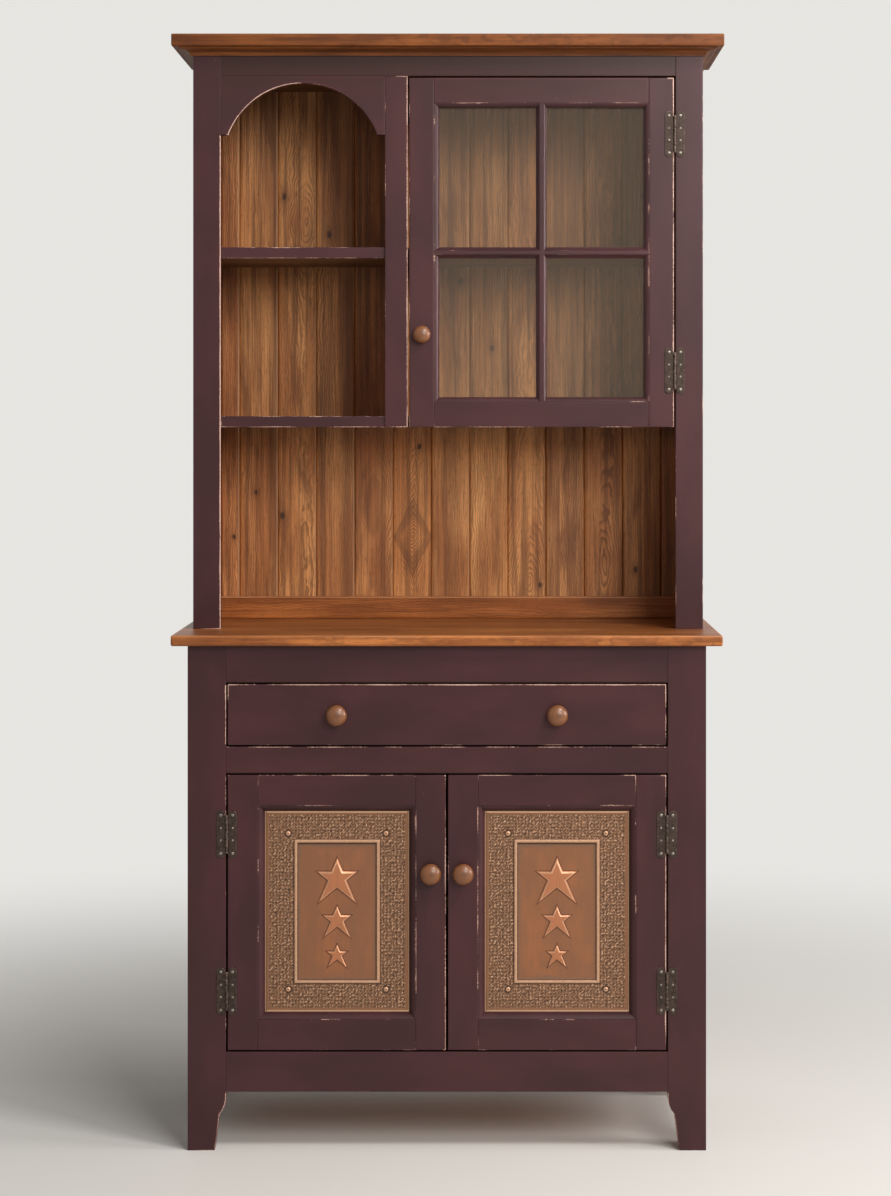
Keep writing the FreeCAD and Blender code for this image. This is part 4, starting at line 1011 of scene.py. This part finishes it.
def woodBoards(node, look, seed, tone=1.0, under=1.0, ease=easeLook["frame"], wear=0.0):
    pile = Pile()
    draw = random.Random(seed)
    for low, high in solids(node):
        solid = easedBox(low, high, ease, wear=wear)
        values = grainValues(draw, (low, high), woodKinds[look][1], tone=tone)
        # the lower half keeps less of its tone: painted shade on the underside
        middle = (low.z + high.z) / 2
        values["tone"] = [
            tuple(part * (under if spot.z < middle else 1) for part in values["tone"]) for spot in solid[0]]
        pile.board(solid, **values)
    pile.build(node, "plain" if look.startswith("inner") else "stained", look)


topLook = {  # look, seed of the grain, shade of the front edge, shade of the top: painted light on the front, painted shade on the top
    "counter_top": ("counter", 33, 1.12, 0.84), "crown_board": ("crown", 34, 1.0, 1.0),
}


def topBoard(node):  # a board with a rounded front and ends
    look, seed, litFrontTone, shadedTopTone = topLook[node]
    ease = easeLook[look]
    low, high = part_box(node)
    near = ease * 1.2

    # painted highlight along the rounded front edge and ends, in the paler edge colour
    def wear(spot):
        front = spot.y < low.y + near or spot.x < low.x + near or spot.x > high.x - near
        return 0.85 if front and spot.z > low.z + (high.z - low.z) * 0.6 else 0.0
    outline = [(low.x, low.y), (high.x, low.y), (high.x, high.y), (low.x, high.y)]
    solid = easedSolid(outline, "z", low.z, high.z, ease, rim=3 * mm, wear=wear)
    heart = (low.y + high.y) / 2 - 50 * mm
    figure = grainValues(random.Random(seed), (low, high), "yzx", steep=0.03, pith=heart)
    # painted highlight on the front edge and painted shade on the top, by their tones
    figure["tone"] = [(litFrontTone if spot.y < low.y + 2 * ease else shadedTopTone,) * 3 for spot in solid[0]]
    pile = Pile()
    pile.board(solid, **figure)
    pile.build(node, "stained", look, slot="top_wood")


backBoards()
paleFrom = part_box("backsplash")[1].z - splashLook["paleEdge"]
woodBoards(
    "backsplash", "splash", splashLook["seed"], splashLook["tone"], ease=easeLook["splash"],
    wear=lambda spot: 1.0 if spot.z > paleFrom else 0.0)
for node in topLook:
    topBoard(node)
for row in boardLooks:
    woodBoards(*row)

crownShape = {  # shares of its reach and its height, with the share of the paler edge colour; the hollow is a quarter of an oval
    "foot": [(0.0, 0.0, 0.2), (0.2, 0.0, 0.6), (0.2, 0.12, 0.3)], "hollowFrom": (0.22, 0.12),
    "hollow": 0.6, "head": [(0.9, 0.74, 0.5), (1.0, 0.8, 0.8), (1.0, 1.0, 0.2), (0.0, 1.0, 0.0)],
}


def crownMoulding():  # a hollow under the crown, mitred at the front corners
    shape = crownShape
    low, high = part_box("crown_moulding")
    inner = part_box("upper_stiles")[1].x
    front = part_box("upper_stiles")[0].y
    tall, proud = high.z - low.z, front - low.y
    startOut, startUp = shape["hollowFrom"]
    angles = [turn * math.pi / 10 for turn in range(6)]
    hollow = [(startOut + shape["hollow"] * (1 - math.cos(a)), startUp + shape["hollow"] * math.sin(a), 0.1)
              for a in angles]
    steps = shape["foot"] + hollow + shape["head"]
    pile = Pile()
    draw = random.Random(51)

    def ring(x, y, outX, outY):
        return [
            (x + outX * proud * out, y - outY * proud * out, low.z + tall * up) for out, up, wear in steps]
    runs = [ring(-inner, front, -1, 1) + ring(inner, front, 1, 1)]
    runs += [ring(side * inner, front, side, 1) + ring(side * inner, high.y, side, 0) for side in (-1, 1)]
    for spots in runs:
        figure = grainValues(draw, (low, high), "zyx", steep=0.02)
        pile.add(spots, skin(len(steps)), wear=[wear for out, up, wear in steps] * 2, **figure)
    pile.build("crown_moulding", "stained", "crown", slot="top_wood")


def baseBack(count=6):
    pile = Pile()
    draw = random.Random(52)
    low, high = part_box("base_back")
    width = (high.x - low.x) / count
    for turn in range(count):
        left = Vector((low.x + turn * width, low.y, low.z))
        right = Vector((low.x + (turn + 1) * width, high.y, high.z))
        tone = draw.uniform(0.88, 1.05)
        figure = grainValues(draw, (left, right), "xyz", steep=0.06, tone=tone)
        pile.board(easedBox(left, right, easeLook["backBoard"], wear=0.0), **figure)
    pile.build("base_back", "plain")


crownMoulding()
baseBack()
for node, look in (("drawer_runners", "innerDeep"), ("glazing_beads", "paintUpright")):
    nodes[node].data.materials.clear()
    nodes[node].data.materials.append(finishes[look])
print("wood made")

copperShape = {
    "cell": 1.95 * mm, "hidden": 12 * mm, "rim": 8 * mm, "insetSide": 63.5 * mm, "insetEnd": 62.3 * mm,
    "beadSteps": (0.0, 0.9, 1.8, 5.2, 6.3, 8.5), "beadRises": (0.0, 1.3, 1.9, 1.9, 0.9, 0.0),
    "front": 1.5 * mm, "punch": 0.75 * mm, "repeat": 97, "darkLine": 1.7 * mm, "darkField": 12 * mm,
    "bossRadius": 4.6 * mm, "bossOffset": 10.5 * mm, "bossRise": 2.4 * mm, "bossMoat": 2.4 * mm,
    "starHeight": 83 * mm, "armReach": 37.4 * mm, "armDrop": 25 * mm, "legReach": 35 * mm,
    "starRise": 3 * mm,
    "stars": ((1.0, 96.3 * mm), (0.7, 10.8 * mm), (0.51, -58.2 * mm)),  # size, and height of the top point
    "seeds": {"left_door": 61, "right_door": 62},
}
starSlopes = (  # size, rise, patina, rubbed
    (0.97, 0.35, 0.25, 0.3), (0.8, 0.9, 0.0, 1.0), (0.74, 1.0, 0.0, 0.35), (0.3, 1.0, 0.0, 0.1))
bossSteps = (  # size, rise, patina, rubbed: a small dome with a dimple
    (1.0, -0.2, 1.0, 0.0), (1.0, 0.1, 0.9, 0.0), (0.96, 0.4, 0.3, 0.5), (0.8, 0.75, 0.0, 0.9),
    (0.55, 0.95, 0.0, 1.0), (0.36, 1.0, 0.0, 0.9), (0.24, 0.86, 0.5, 0.2), (0.08, 0.8, 0.7, 0.0))
rimShape = {  # lines across the rim: place and width as shares of it, and how dark a groove is; the lip gleam is painted highlight along the sheet's edge, the ridge gleam a paler ridge
    "ridge": (0.62, 0.13), "grooves": ((0.3, 0.12, 0.55), (1.0, 0.1, 0.6)), "rise": 0.9 * mm,
    "ridgeGleam": 0.6, "lipGleam": 1.3, "lipAtEnd": 0.34, "lipAtSide": 0.12,
}
sheetNames = ("patina", "raised", "border", "aged")
borderAged = 0.2
sheetZones = {  # rise, then a value for each of these names
    "moat": (-0.3 * mm, 0.95, 0.0, 0.9, borderAged), "darkLine": (0.0, 0.8, 0.0, 0.9, borderAged),
    "between": (copperShape["punch"] * 0.2, 0.34, 0.12, 1.0, borderAged),
}


def starOutline(share, x, top):  # five straight lines that cross, hung from the top point
    shape = copperShape
    arm, drop, leg, foot = (shape[name] for name in ("armReach", "armDrop", "legReach", "starHeight"))
    tips = [Vector(tip) for tip in ((0, 0), (arm, -drop), (leg, -foot), (-leg, -foot), (-arm, -drop))]
    ring = []
    for turn, tip in enumerate(tips):
        run, other = tips[(turn + 2) % 5] - tip, tips[(turn + 1) % 5] - tips[turn - 1]
        gap = tips[turn - 1] - tip
        way = (gap.x * other.y - gap.y * other.x) / (run.x * other.y - run.y * other.x)
        ring += [tip, tip + run * way]
    return [Vector((x, top)) + corner * share for corner in ring]


def grownOutline(ring, out):  # the same outline, its sides moved outwards
    grown = []
    for turn, corner in enumerate(ring):
        ways = (corner - ring[turn - 1], ring[(turn + 1) % len(ring)] - corner)
        sides = [Vector((-way.y, way.x)).normalized() for way in ways]
        middle = (sides[0] + sides[1]).normalized()
        grown.append(corner + middle * min(out / max(0.35, middle.dot(sides[0])), out * 2.4))
    return grown


def gridLines(span, inset):  # lines across the sheet: close together, and true to the rim and the bead frame
    shape = copperShape
    marks = [0.0, shape["hidden"] / 2, shape["hidden"]]

    def fill(stop):
        start = marks[-1]
        count = round((stop - start) / shape["cell"])
        return [start + (stop - start) * (turn + 1) / count for turn in range(count)]
    marks += fill(shape["hidden"] + shape["rim"])
    marks += fill(inset)
    marks += [inset + step * mm for step in shape["beadSteps"][1:]]
    marks += fill(span / 2)
    return marks + [span - mark for mark in marks[-2::-1]]


def beadProfile(inside):  # height across the bead frame, in millimetres, from its outer edge
    steps, rises = copperShape["beadSteps"], copperShape["beadRises"]
    for turn in range(len(steps) - 1):
        if inside <= steps[turn + 1] * mm + 1e-9:
            share = (inside / mm - steps[turn]) / (steps[turn + 1] - steps[turn])
            return rises[turn] + (rises[turn + 1] - rises[turn]) * share
    return 0.0


def dotPattern(draw):  # which points of a repeat sink or rise, and how far
    dots, count = {}, copperShape["repeat"]
    for column in range(count):
        for row in range(count):
            chosen = [(0, 0)] + draw.sample([(1, 1), (2, 1), (1, 2), (2, 2), (2, 0), (0, 2)], 3)
            marks = dict(zip(chosen, ("pit", "bump", "pit", "bump")))
            dots[column, row] = marks, draw.uniform(0.4, 1.0), draw.uniform(0.1, 1.0)
    return dots


def swell(share, place, width):  # a soft line across the rim
    return math.exp(-((share - place) / width) ** 2)


def rimValues(share, atEnd):
    shape = rimShape
    ridge = swell(share, *shape["ridge"])
    groove = sum(swell(share, place, width) * dark for place, width, dark in shape["grooves"])
    lip = shape["lipAtEnd"] if atEnd else shape["lipAtSide"]
    # painted highlight along the lip, laid in the rubbed colour
    gleam = shape["ridgeGleam"] * ridge + (shape["lipGleam"] if share < lip else 0)
    return shape["rise"] * ridge, groove * (share > lip), gleam, 0.7, borderAged


def sheetValues(x, z, span, place, dots, bosses):  # the rise and the values of one point of the sheet
    shape = copperShape
    edges = (min(x, span[0] - x), min(z, span[1] - z))
    edge = min(edges) - shape["hidden"]
    inside = min(edges[0] - shape["insetSide"], edges[1] - shape["insetEnd"])
    beadWidth = shape["beadSteps"][-1] * mm
    if edge < shape["rim"]:
        return rimValues(max(0.0, edge / shape["rim"]), edges[1] < edges[0])
    if inside < 0:
        near = min(math.hypot(x - bossX, z - bossZ) for bossX, bossZ in bosses)
        if near < shape["bossRadius"] + shape["bossMoat"]:
            return sheetZones["moat"]
        if inside > -shape["darkLine"]:
            return sheetZones["darkLine"]
        marks, deep, high = dots[tuple(part // 3 % shape["repeat"] for part in place)]
        mark = marks.get((place[0] % 3, place[1] % 3))
        if mark == "pit":
            return -shape["punch"] * deep, 0.7 + 0.5 * deep, 0.0, 1.0, borderAged
        if mark == "bump":
            return shape["punch"] * high, 0.0, 0.6 + 0.6 * high, 1.0, borderAged
        return sheetZones["between"]
    if inside < beadWidth:
        rise = beadProfile(inside)
        dark = 0.9 if inside > 6.2 * mm or inside < 0.5 * mm else 0.0
        return rise * mm, dark, 0.85 if rise > 1.2 else 0.0, 0.4, borderAged
    middle = min((inside - beadWidth) / shape["darkField"], 1)
    corner = max(0, z / span[1] - 0.62) * 1.5
    return 0.0, 0.5 * max(0.0, 1 - middle * 6), 0.0, 0.0, (1 - middle) * 0.7 + corner


def closedSheet(width, tall, spots, values, back):  # faces of a grid of points, with sides and a flat back
    faces = [
        [corner, corner + 1, corner + width + 1, corner + width]
        for row in range(tall - 1) for corner in range(row * width, row * width + width - 1)]
    start = width * tall
    rim = [
        *range(width), *range(2 * width - 1, start, width), *range(start - 2, start - width - 1, -1),
        *range(start - 2 * width, 0, -width)]
    count = len(rim)
    spots += [(spots[corner][0], back, spots[corner][2]) for corner in rim]
    for name in sheetNames:
        values[name] += [0.0] * count
    for turn in range(count):
        after = (turn + 1) % count
        faces.append([rim[turn], rim[after], start + after, start + turn])
    return faces + [list(range(start, start + count))]


def addStar(pile, share, x, top, front):  # a dark sunk edge, broad slopes and a flat top
    ring = starOutline(share, x, top)
    centre = sum(ring, Vector((0, 0))) / len(ring)
    height = copperShape["starRise"] * share ** 0.35
    levels = [
        (grownOutline(ring, 1.5 * mm), -0.3, 0.95, 0.0),
        (grownOutline(ring, 1.3 * mm), 0.1 * mm / height, 0.95, 0.0), (ring, 0.12 * mm / height, 0.9, 0.0)]
    for size, *rest in starSlopes:
        levels.append(([centre + (corner - centre) * size for corner in ring], *rest))
    pile.loft(
        [[(spot.x, front - height * level[1], spot.y) for spot in level[0]] for level in levels],
        patina=[level[2] for level in levels], raised=[level[3] for level in levels], border=0.0, aged=-1.0)


def copperPanel(door):
    shape = copperShape
    node = door + "_copper_panel"
    low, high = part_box(node)
    span = (high.x - low.x, high.z - low.z)
    front = high.y - shape["front"]
    dots = dotPattern(random.Random(shape["seeds"][door]))
    cornerX, cornerZ = shape["insetSide"] - shape["bossOffset"], shape["insetEnd"] - shape["bossOffset"]
    bosses = [(x, z) for x in (cornerX, span[0] - cornerX) for z in (cornerZ, span[1] - cornerZ)]
    acrossLines, upLines = gridLines(span[0], shape["insetSide"]), gridLines(span[1], shape["insetEnd"])
    spots, values = [], {name: [] for name in sheetNames}
    for row, z in enumerate(upLines):
        for column, x in enumerate(acrossLines):
            rise, *surface = sheetValues(x, z, span, (column, row), dots, bosses)
            spots.append((low.x + x, front - rise, low.z + z))
            for name, value in zip(sheetNames, surface):
                values[name].append(value)
    faces = closedSheet(len(acrossLines), len(upLines), spots, values, high.y)
    pile = Pile()
    pile.add(spots, faces, **values)
    doorMiddle = sum(corner.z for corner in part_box(door + "_stiles")) / 2
    for share, rise in shape["stars"]:
        addStar(pile, share, (low.x + high.x) / 2, doorMiddle + rise, front)
    for bossX, bossZ in bosses:
        rings = [
            [(low.x + bossX + across, front - shape["bossRise"] * rise, low.z + bossZ + up)
             for across, up in circle(shape["bossRadius"] * reach, 24)]
            for reach, rise, *_ in bossSteps]
        pile.loft(
            rings, patina=[step[2] for step in bossSteps], raised=[step[3] for step in bossSteps],
            border=0.3, aged=0.0)
    pile.build(node, "pressed")


for door in ("left_door", "right_door"):
    copperPanel(door)
print("copper panels made")

knobShape = {  # in parts of a knob that reaches 28 mm out
    "turns": 48, "reach": 28 * mm, "foot": 10 * mm, "neck": 7.2 * mm, "neckEnd": 7 * mm, "belly": 15.2 * mm,
    "flareSteps": 8, "ballSteps": 13,
}


def turnedKnob(pile, x, z, face, reach, radius, draw):
    shape = knobShape
    scale = reach / shape["reach"]
    foot, neck, neckEnd, belly = (shape[name] * scale for name in ("foot", "neck", "neckEnd", "belly"))
    profile = [
        (foot * 0.94, -0.2 * mm), (foot, 0.5 * mm), (foot, 2.0 * mm * scale), (foot * 0.93, 2.6 * mm * scale),
        (neck * 1.02, 3.6 * mm * scale), (neck, 5.2 * mm * scale)]
    for turn in range(shape["flareSteps"] + 1):  # the flare under the ball
        angle = math.pi / 2 * turn / shape["flareSteps"]
        flare = neck + (radius - neck) * math.sin(angle) ** 0.8
        profile.append((flare, belly - (belly - neckEnd) * math.cos(angle)))
    for turn in range(1, shape["ballSteps"] + 1):  # the ball, left a little flat in the middle
        angle = math.pi / 2 * turn / (shape["ballSteps"] + 0.35)
        profile.append((radius * math.cos(angle) ** 0.92, belly + (reach - belly) * math.sin(angle)))
    rings = [[(x + across, face - out, z + up) for across, up in circle(size, shape["turns"])]
             for size, out in profile]
    pile.loft(rings, heart=(x, face, z), seed=draw.uniform(0, 9))


def knobs(node, face):
    pile = Pile()
    draw = random.Random(71 + len(node))
    for low, high in solids(node):
        middle = (low + high) / 2
        turnedKnob(pile, middle.x, middle.z, face, face - low.y, (high.x - low.x) / 2, draw)
    pile.build(node, "turned")


for node in ("drawer_knobs", "left_door_knob", "right_door_knob"):
    knobs(node, baseFront)
knobs("glass_door_knob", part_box("glass_door_stiles")[0].y)

hingeShape = {
    "gap": 2.9 * mm, "width": 15 * mm, "height": 84 * mm, "thick": 1.6 * mm, "endRise": 7.5 * mm,
    "ease": 0.45 * mm, "barrel": 2.5 * mm, "barrelLength": 65 * mm, "barrelEase": 0.35 * mm, "turns": 28,
    "play": 0.3 * mm, "leafRim": 1.1 * mm, "tabReach": 2 * mm, "tabEase": 0.2 * mm, "tabRim": 0.3 * mm,
    "pin": 1.45 * mm, "pinHead": 1.5 * mm, "slot": 0.42 * mm, "headRise": 0.8 * mm,
    "pinBulb": ((0, 0.6), (0.25, 0.92), (0.6, 1.0), (1.0, 0.96)),  # height and size, from the end
    "screwDome": ((1.0, 0.0), (1.0, 0.2), (0.85, 0.62), (0.55, 0.9), (0.2, 1.0)),  # size and height
    "screws": ((34 * mm, 2.6 * mm), (11 * mm, 1.9 * mm), (-11 * mm, 1.9 * mm), (-34 * mm, 2.6 * mm)),
}
hingeLines = {
    joint["child"]: Vector(joint["pos_m"]) for joint in frame["joints"] if joint["type"] == "hinge"}


def drum(pile, axis, levels, **values):  # a round bar from (level, radius) steps
    pile.loft([
        [(axis.x + across, axis.y + deep, level) for across, deep in circle(size, hingeShape["turns"])]
        for level, size in levels], **values)


def hingeLeaf(pile, axis, level, side, face, outer):
    shape = hingeShape
    gap, width, thick, size, ease = (
        shape[name] for name in ("gap", "width", "thick", "barrel", "barrelEase"))
    middle = axis.x + side * (gap + width / 2)
    outline = []
    for way in (1, -1):
        for turn in range(13):
            angle = math.pi * turn / 12
            up = shape["height"] / 2 - shape["endRise"] * (1 - math.sin(angle))
            outline.append((middle + way * width / 2 * math.cos(angle), level + way * up))
    pile.board(easedSolid(
        outline, "y", face - thick, face, shape["ease"], rim=shape["leafRim"], wear=0.85, corner=40))
    sixth, play, tabEase = shape["barrelLength"] / 6, shape["play"], shape["tabEase"]
    spans = ((-3 * sixth, -sixth), (sixth, 3 * sixth)) if outer else ((play - sixth, sixth - play),)
    for start, stop in ((level + end for end in span) for span in spans):
        levels = [(start, size - ease), (start + ease, size), (stop - ease, size), (stop, size - ease)]
        drum(pile, axis, levels, wear=[0.9, 0.8, 0.8, 0.9])
        tab = sorted((axis.x + side * size * 0.6, axis.x + side * (gap + shape["tabReach"])))
        low = Vector((tab[0], face - thick + 0.1 * mm, start + tabEase))
        high = Vector((tab[1], face - 0.05 * mm, stop - tabEase))
        pile.board(easedBox(low, high, tabEase, rim=shape["tabRim"], wear=0.6))


def domedScrew(pile, x, z, face, radius, turnAngle):  # a slotted round head: two halves and a sunk disc
    slot, rise = hingeShape["slot"], hingeShape["headRise"]
    place = Vector((x, face, z))
    for way in (0, math.pi):
        spin = Matrix.Rotation(way + turnAngle, 3, "Y")
        rings = []
        for share, up in hingeShape["screwDome"]:
            size, ring = share * radius, []
            for turn in range(15):
                angle = math.pi * turn / 14
                over = slot + max(size - slot, 0) * math.sin(angle)
                ring.append(spin @ Vector((size * math.cos(angle), -rise * up, over)) + place)
            rings.append(ring)
        pile.loft(rings)
    pile.loft([
        [(x + across, face - level, z + up) for across, up in circle(radius * 0.97, 20)]
        for level in (-0.4 * mm, 0.3 * rise)])


def pinLevels(level):  # a pin with a rounded head at both ends
    shape = hingeShape
    half, head, size, pin = (shape[name] for name in ("barrelLength", "pinHead", "barrel", "pin"))
    half, bulb = half / 2, shape["pinBulb"]
    levels = [(level - half - head * (1 - up), size * share) for up, share in bulb]
    levels += [(level + way * (half - 0.01 * mm), pin) for way in (-1, 1)]
    return levels + [(level + half + head * (1 - up), size * share) for up, share in bulb[::-1]]


def hinges():
    shape = hingeShape
    caseLeaves, pins, caseScrews = Pile(), Pile(), Pile()
    draw = random.Random(81)
    for door, axis in hingeLines.items():
        doorLeaves, doorScrews = Pile(), Pile()
        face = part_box(door + "_stiles")[0].y
        leaves = solids(door + "_hinge_leaves")
        doorSide = 1 if leaves[0][1].x - axis.x > axis.x - leaves[0][0].x else -1
        for low, high in leaves:
            level = (low.z + high.z) / 2
            hingeLeaf(doorLeaves, axis, level, doorSide, face, False)
            hingeLeaf(caseLeaves, axis, level, -doorSide, face, True)
            drum(pins, axis, pinLevels(level), wear=0.9)
            for offset, radius in shape["screws"]:
                for side, pile in ((doorSide, doorScrews), (-doorSide, caseScrews)):
                    x = axis.x + side * (shape["gap"] + shape["width"] / 2)
                    domedScrew(pile, x, level + offset, face - shape["thick"], radius, draw.uniform(0, 3.1))
        doorLeaves.build(door + "_hinge_leaves", "iron")
        for low, high in solids(door + "_fixings"):
            if high.z - low.z > 8 * mm:  # the strike plate, which is larger than any screw
                doorScrews.add(*easedBox(low, high, 0.15 * mm, rim=0.8 * mm)[:2])
        doorScrews.build(door + "_fixings", "steel")
    caseLeaves.build("case_hinge_leaves", "iron")
    pins.build("hinge_pins", "iron")
    caseScrews.build("case_hinge_screws", "steel")


hinges()
for node, kind, ease, rim in (
        ("door_catches", "plastic", 1.2 * mm, 1 * mm), ("glass_panes", "clear", 0.3 * mm, 0.6 * mm)):
    pile = Pile()
    for low, high in solids(node):
        pile.add(*easedBox(low, high, ease, rim=rim)[:2])
    pile.build(node, kind)
print("hardware made")

stageLook = {
    "floor": (0.80, 0.785, 0.76, 1), "dust": (0.5, 0.49, 0.47, 1), "backdrop": (0.80, 0.785, 0.755, 1),
    "floorRadius": 14.0, "fadeFrom": 0.55, "fadeTo": 3.0, "skyLight": 0.25,
}


def stage():  # a pale floor that fades into an even backdrop
    look = stageLook
    finish = Finish("pale_floor")
    place = finish.place()
    far = finish.step(finish.vector("LENGTH", place, out="Value"), look["fadeFrom"], look["fadeTo"])
    tone = finish.mix(finish.noise(place, 3, 3) * 0.08, look["floor"], look["dust"])
    near = finish.node("BsdfPrincipled", None, {"Base Color": tone, "Roughness": 0.75})
    glow = finish.node("Emission", None, {"Color": look["backdrop"], "Strength": 1.0})
    seen = finish.node("LightPath", out="Is Camera Ray")
    bpy.ops.mesh.primitive_circle_add(
        vertices=96, radius=look["floorRadius"], fill_type="NGON", location=(0, 0, 0))
    floor = bpy.context.object
    floor.name = "pale_floor"
    faded = finish.node("MixShader", None, {0: far * seen, 1: near, 2: glow})
    floor.data.materials.append(finish.close(faded))

    world = bpy.data.worlds.new("studio")
    bpy.context.scene.world = world
    finish = Finish("studio", world)
    camera, through, shine = (
        finish.node("LightPath", out=f"Is {kind} Ray") for kind in ("Camera", "Transmission", "Glossy"))
    seen = finish.maths("MAXIMUM", finish.maths("MAXIMUM", camera, through), shine)
    strength = finish.node("MapRange", None, {"Value": seen, "To Min": look["skyLight"], "To Max": 1.0})
    sky = finish.node("Background", None, {"Color": look["backdrop"], "Strength": strength})
    finish.close(sky, "OutputWorld")


lampLook = {  # azimuth, height, distance, size, power, colour
    "window": (46, 46, 3.4, 0.8, 60, (1.0, 0.965, 0.92)),
    "front": (25, 21, 4.6, 1.9, 106, (1.0, 0.97, 0.93)),
    "side": (80, 10, 4.0, 1.4, 84, (1.0, 0.97, 0.94)),
}
lampAim = Vector((0, -0.05, 1.05))
cameraLook = {"place": (0.075, -4.796, 1.287), "lens": 78.05, "shiftX": -0.0365, "shiftY": -0.14465}


def lamps():
    for name, (azimuth, height, distance, size, power, colour) in lampLook.items():
        data = bpy.data.lights.new(name, "AREA")
        data.shape, data.size, data.energy, data.color = "SQUARE", size, power, colour
        lamp = bpy.data.objects.new(name, data)
        bpy.context.scene.collection.objects.link(lamp)
        turn, tilt = math.radians(azimuth), math.radians(height)
        way = Vector((math.sin(turn) * math.cos(tilt), -math.cos(turn) * math.cos(tilt), math.sin(tilt)))
        lamp.location = lampAim + way * distance
        lamp.rotation_euler = way.to_track_quat("Z", "Y").to_euler()


def camera():
    look = cameraLook
    data = bpy.data.cameras.new("front")
    data.lens, data.shift_x, data.shift_y = look["lens"], look["shiftX"], look["shiftY"]
    made = bpy.data.objects.new("front", data)
    bpy.context.scene.collection.objects.link(made)
    made.location = look["place"]
    made.rotation_euler = (math.pi / 2, 0, 0)
    bpy.context.scene.camera = made


stage()
lamps()
camera()
bpy.context.scene.view_settings.view_transform = "Standard"
print("stage set")
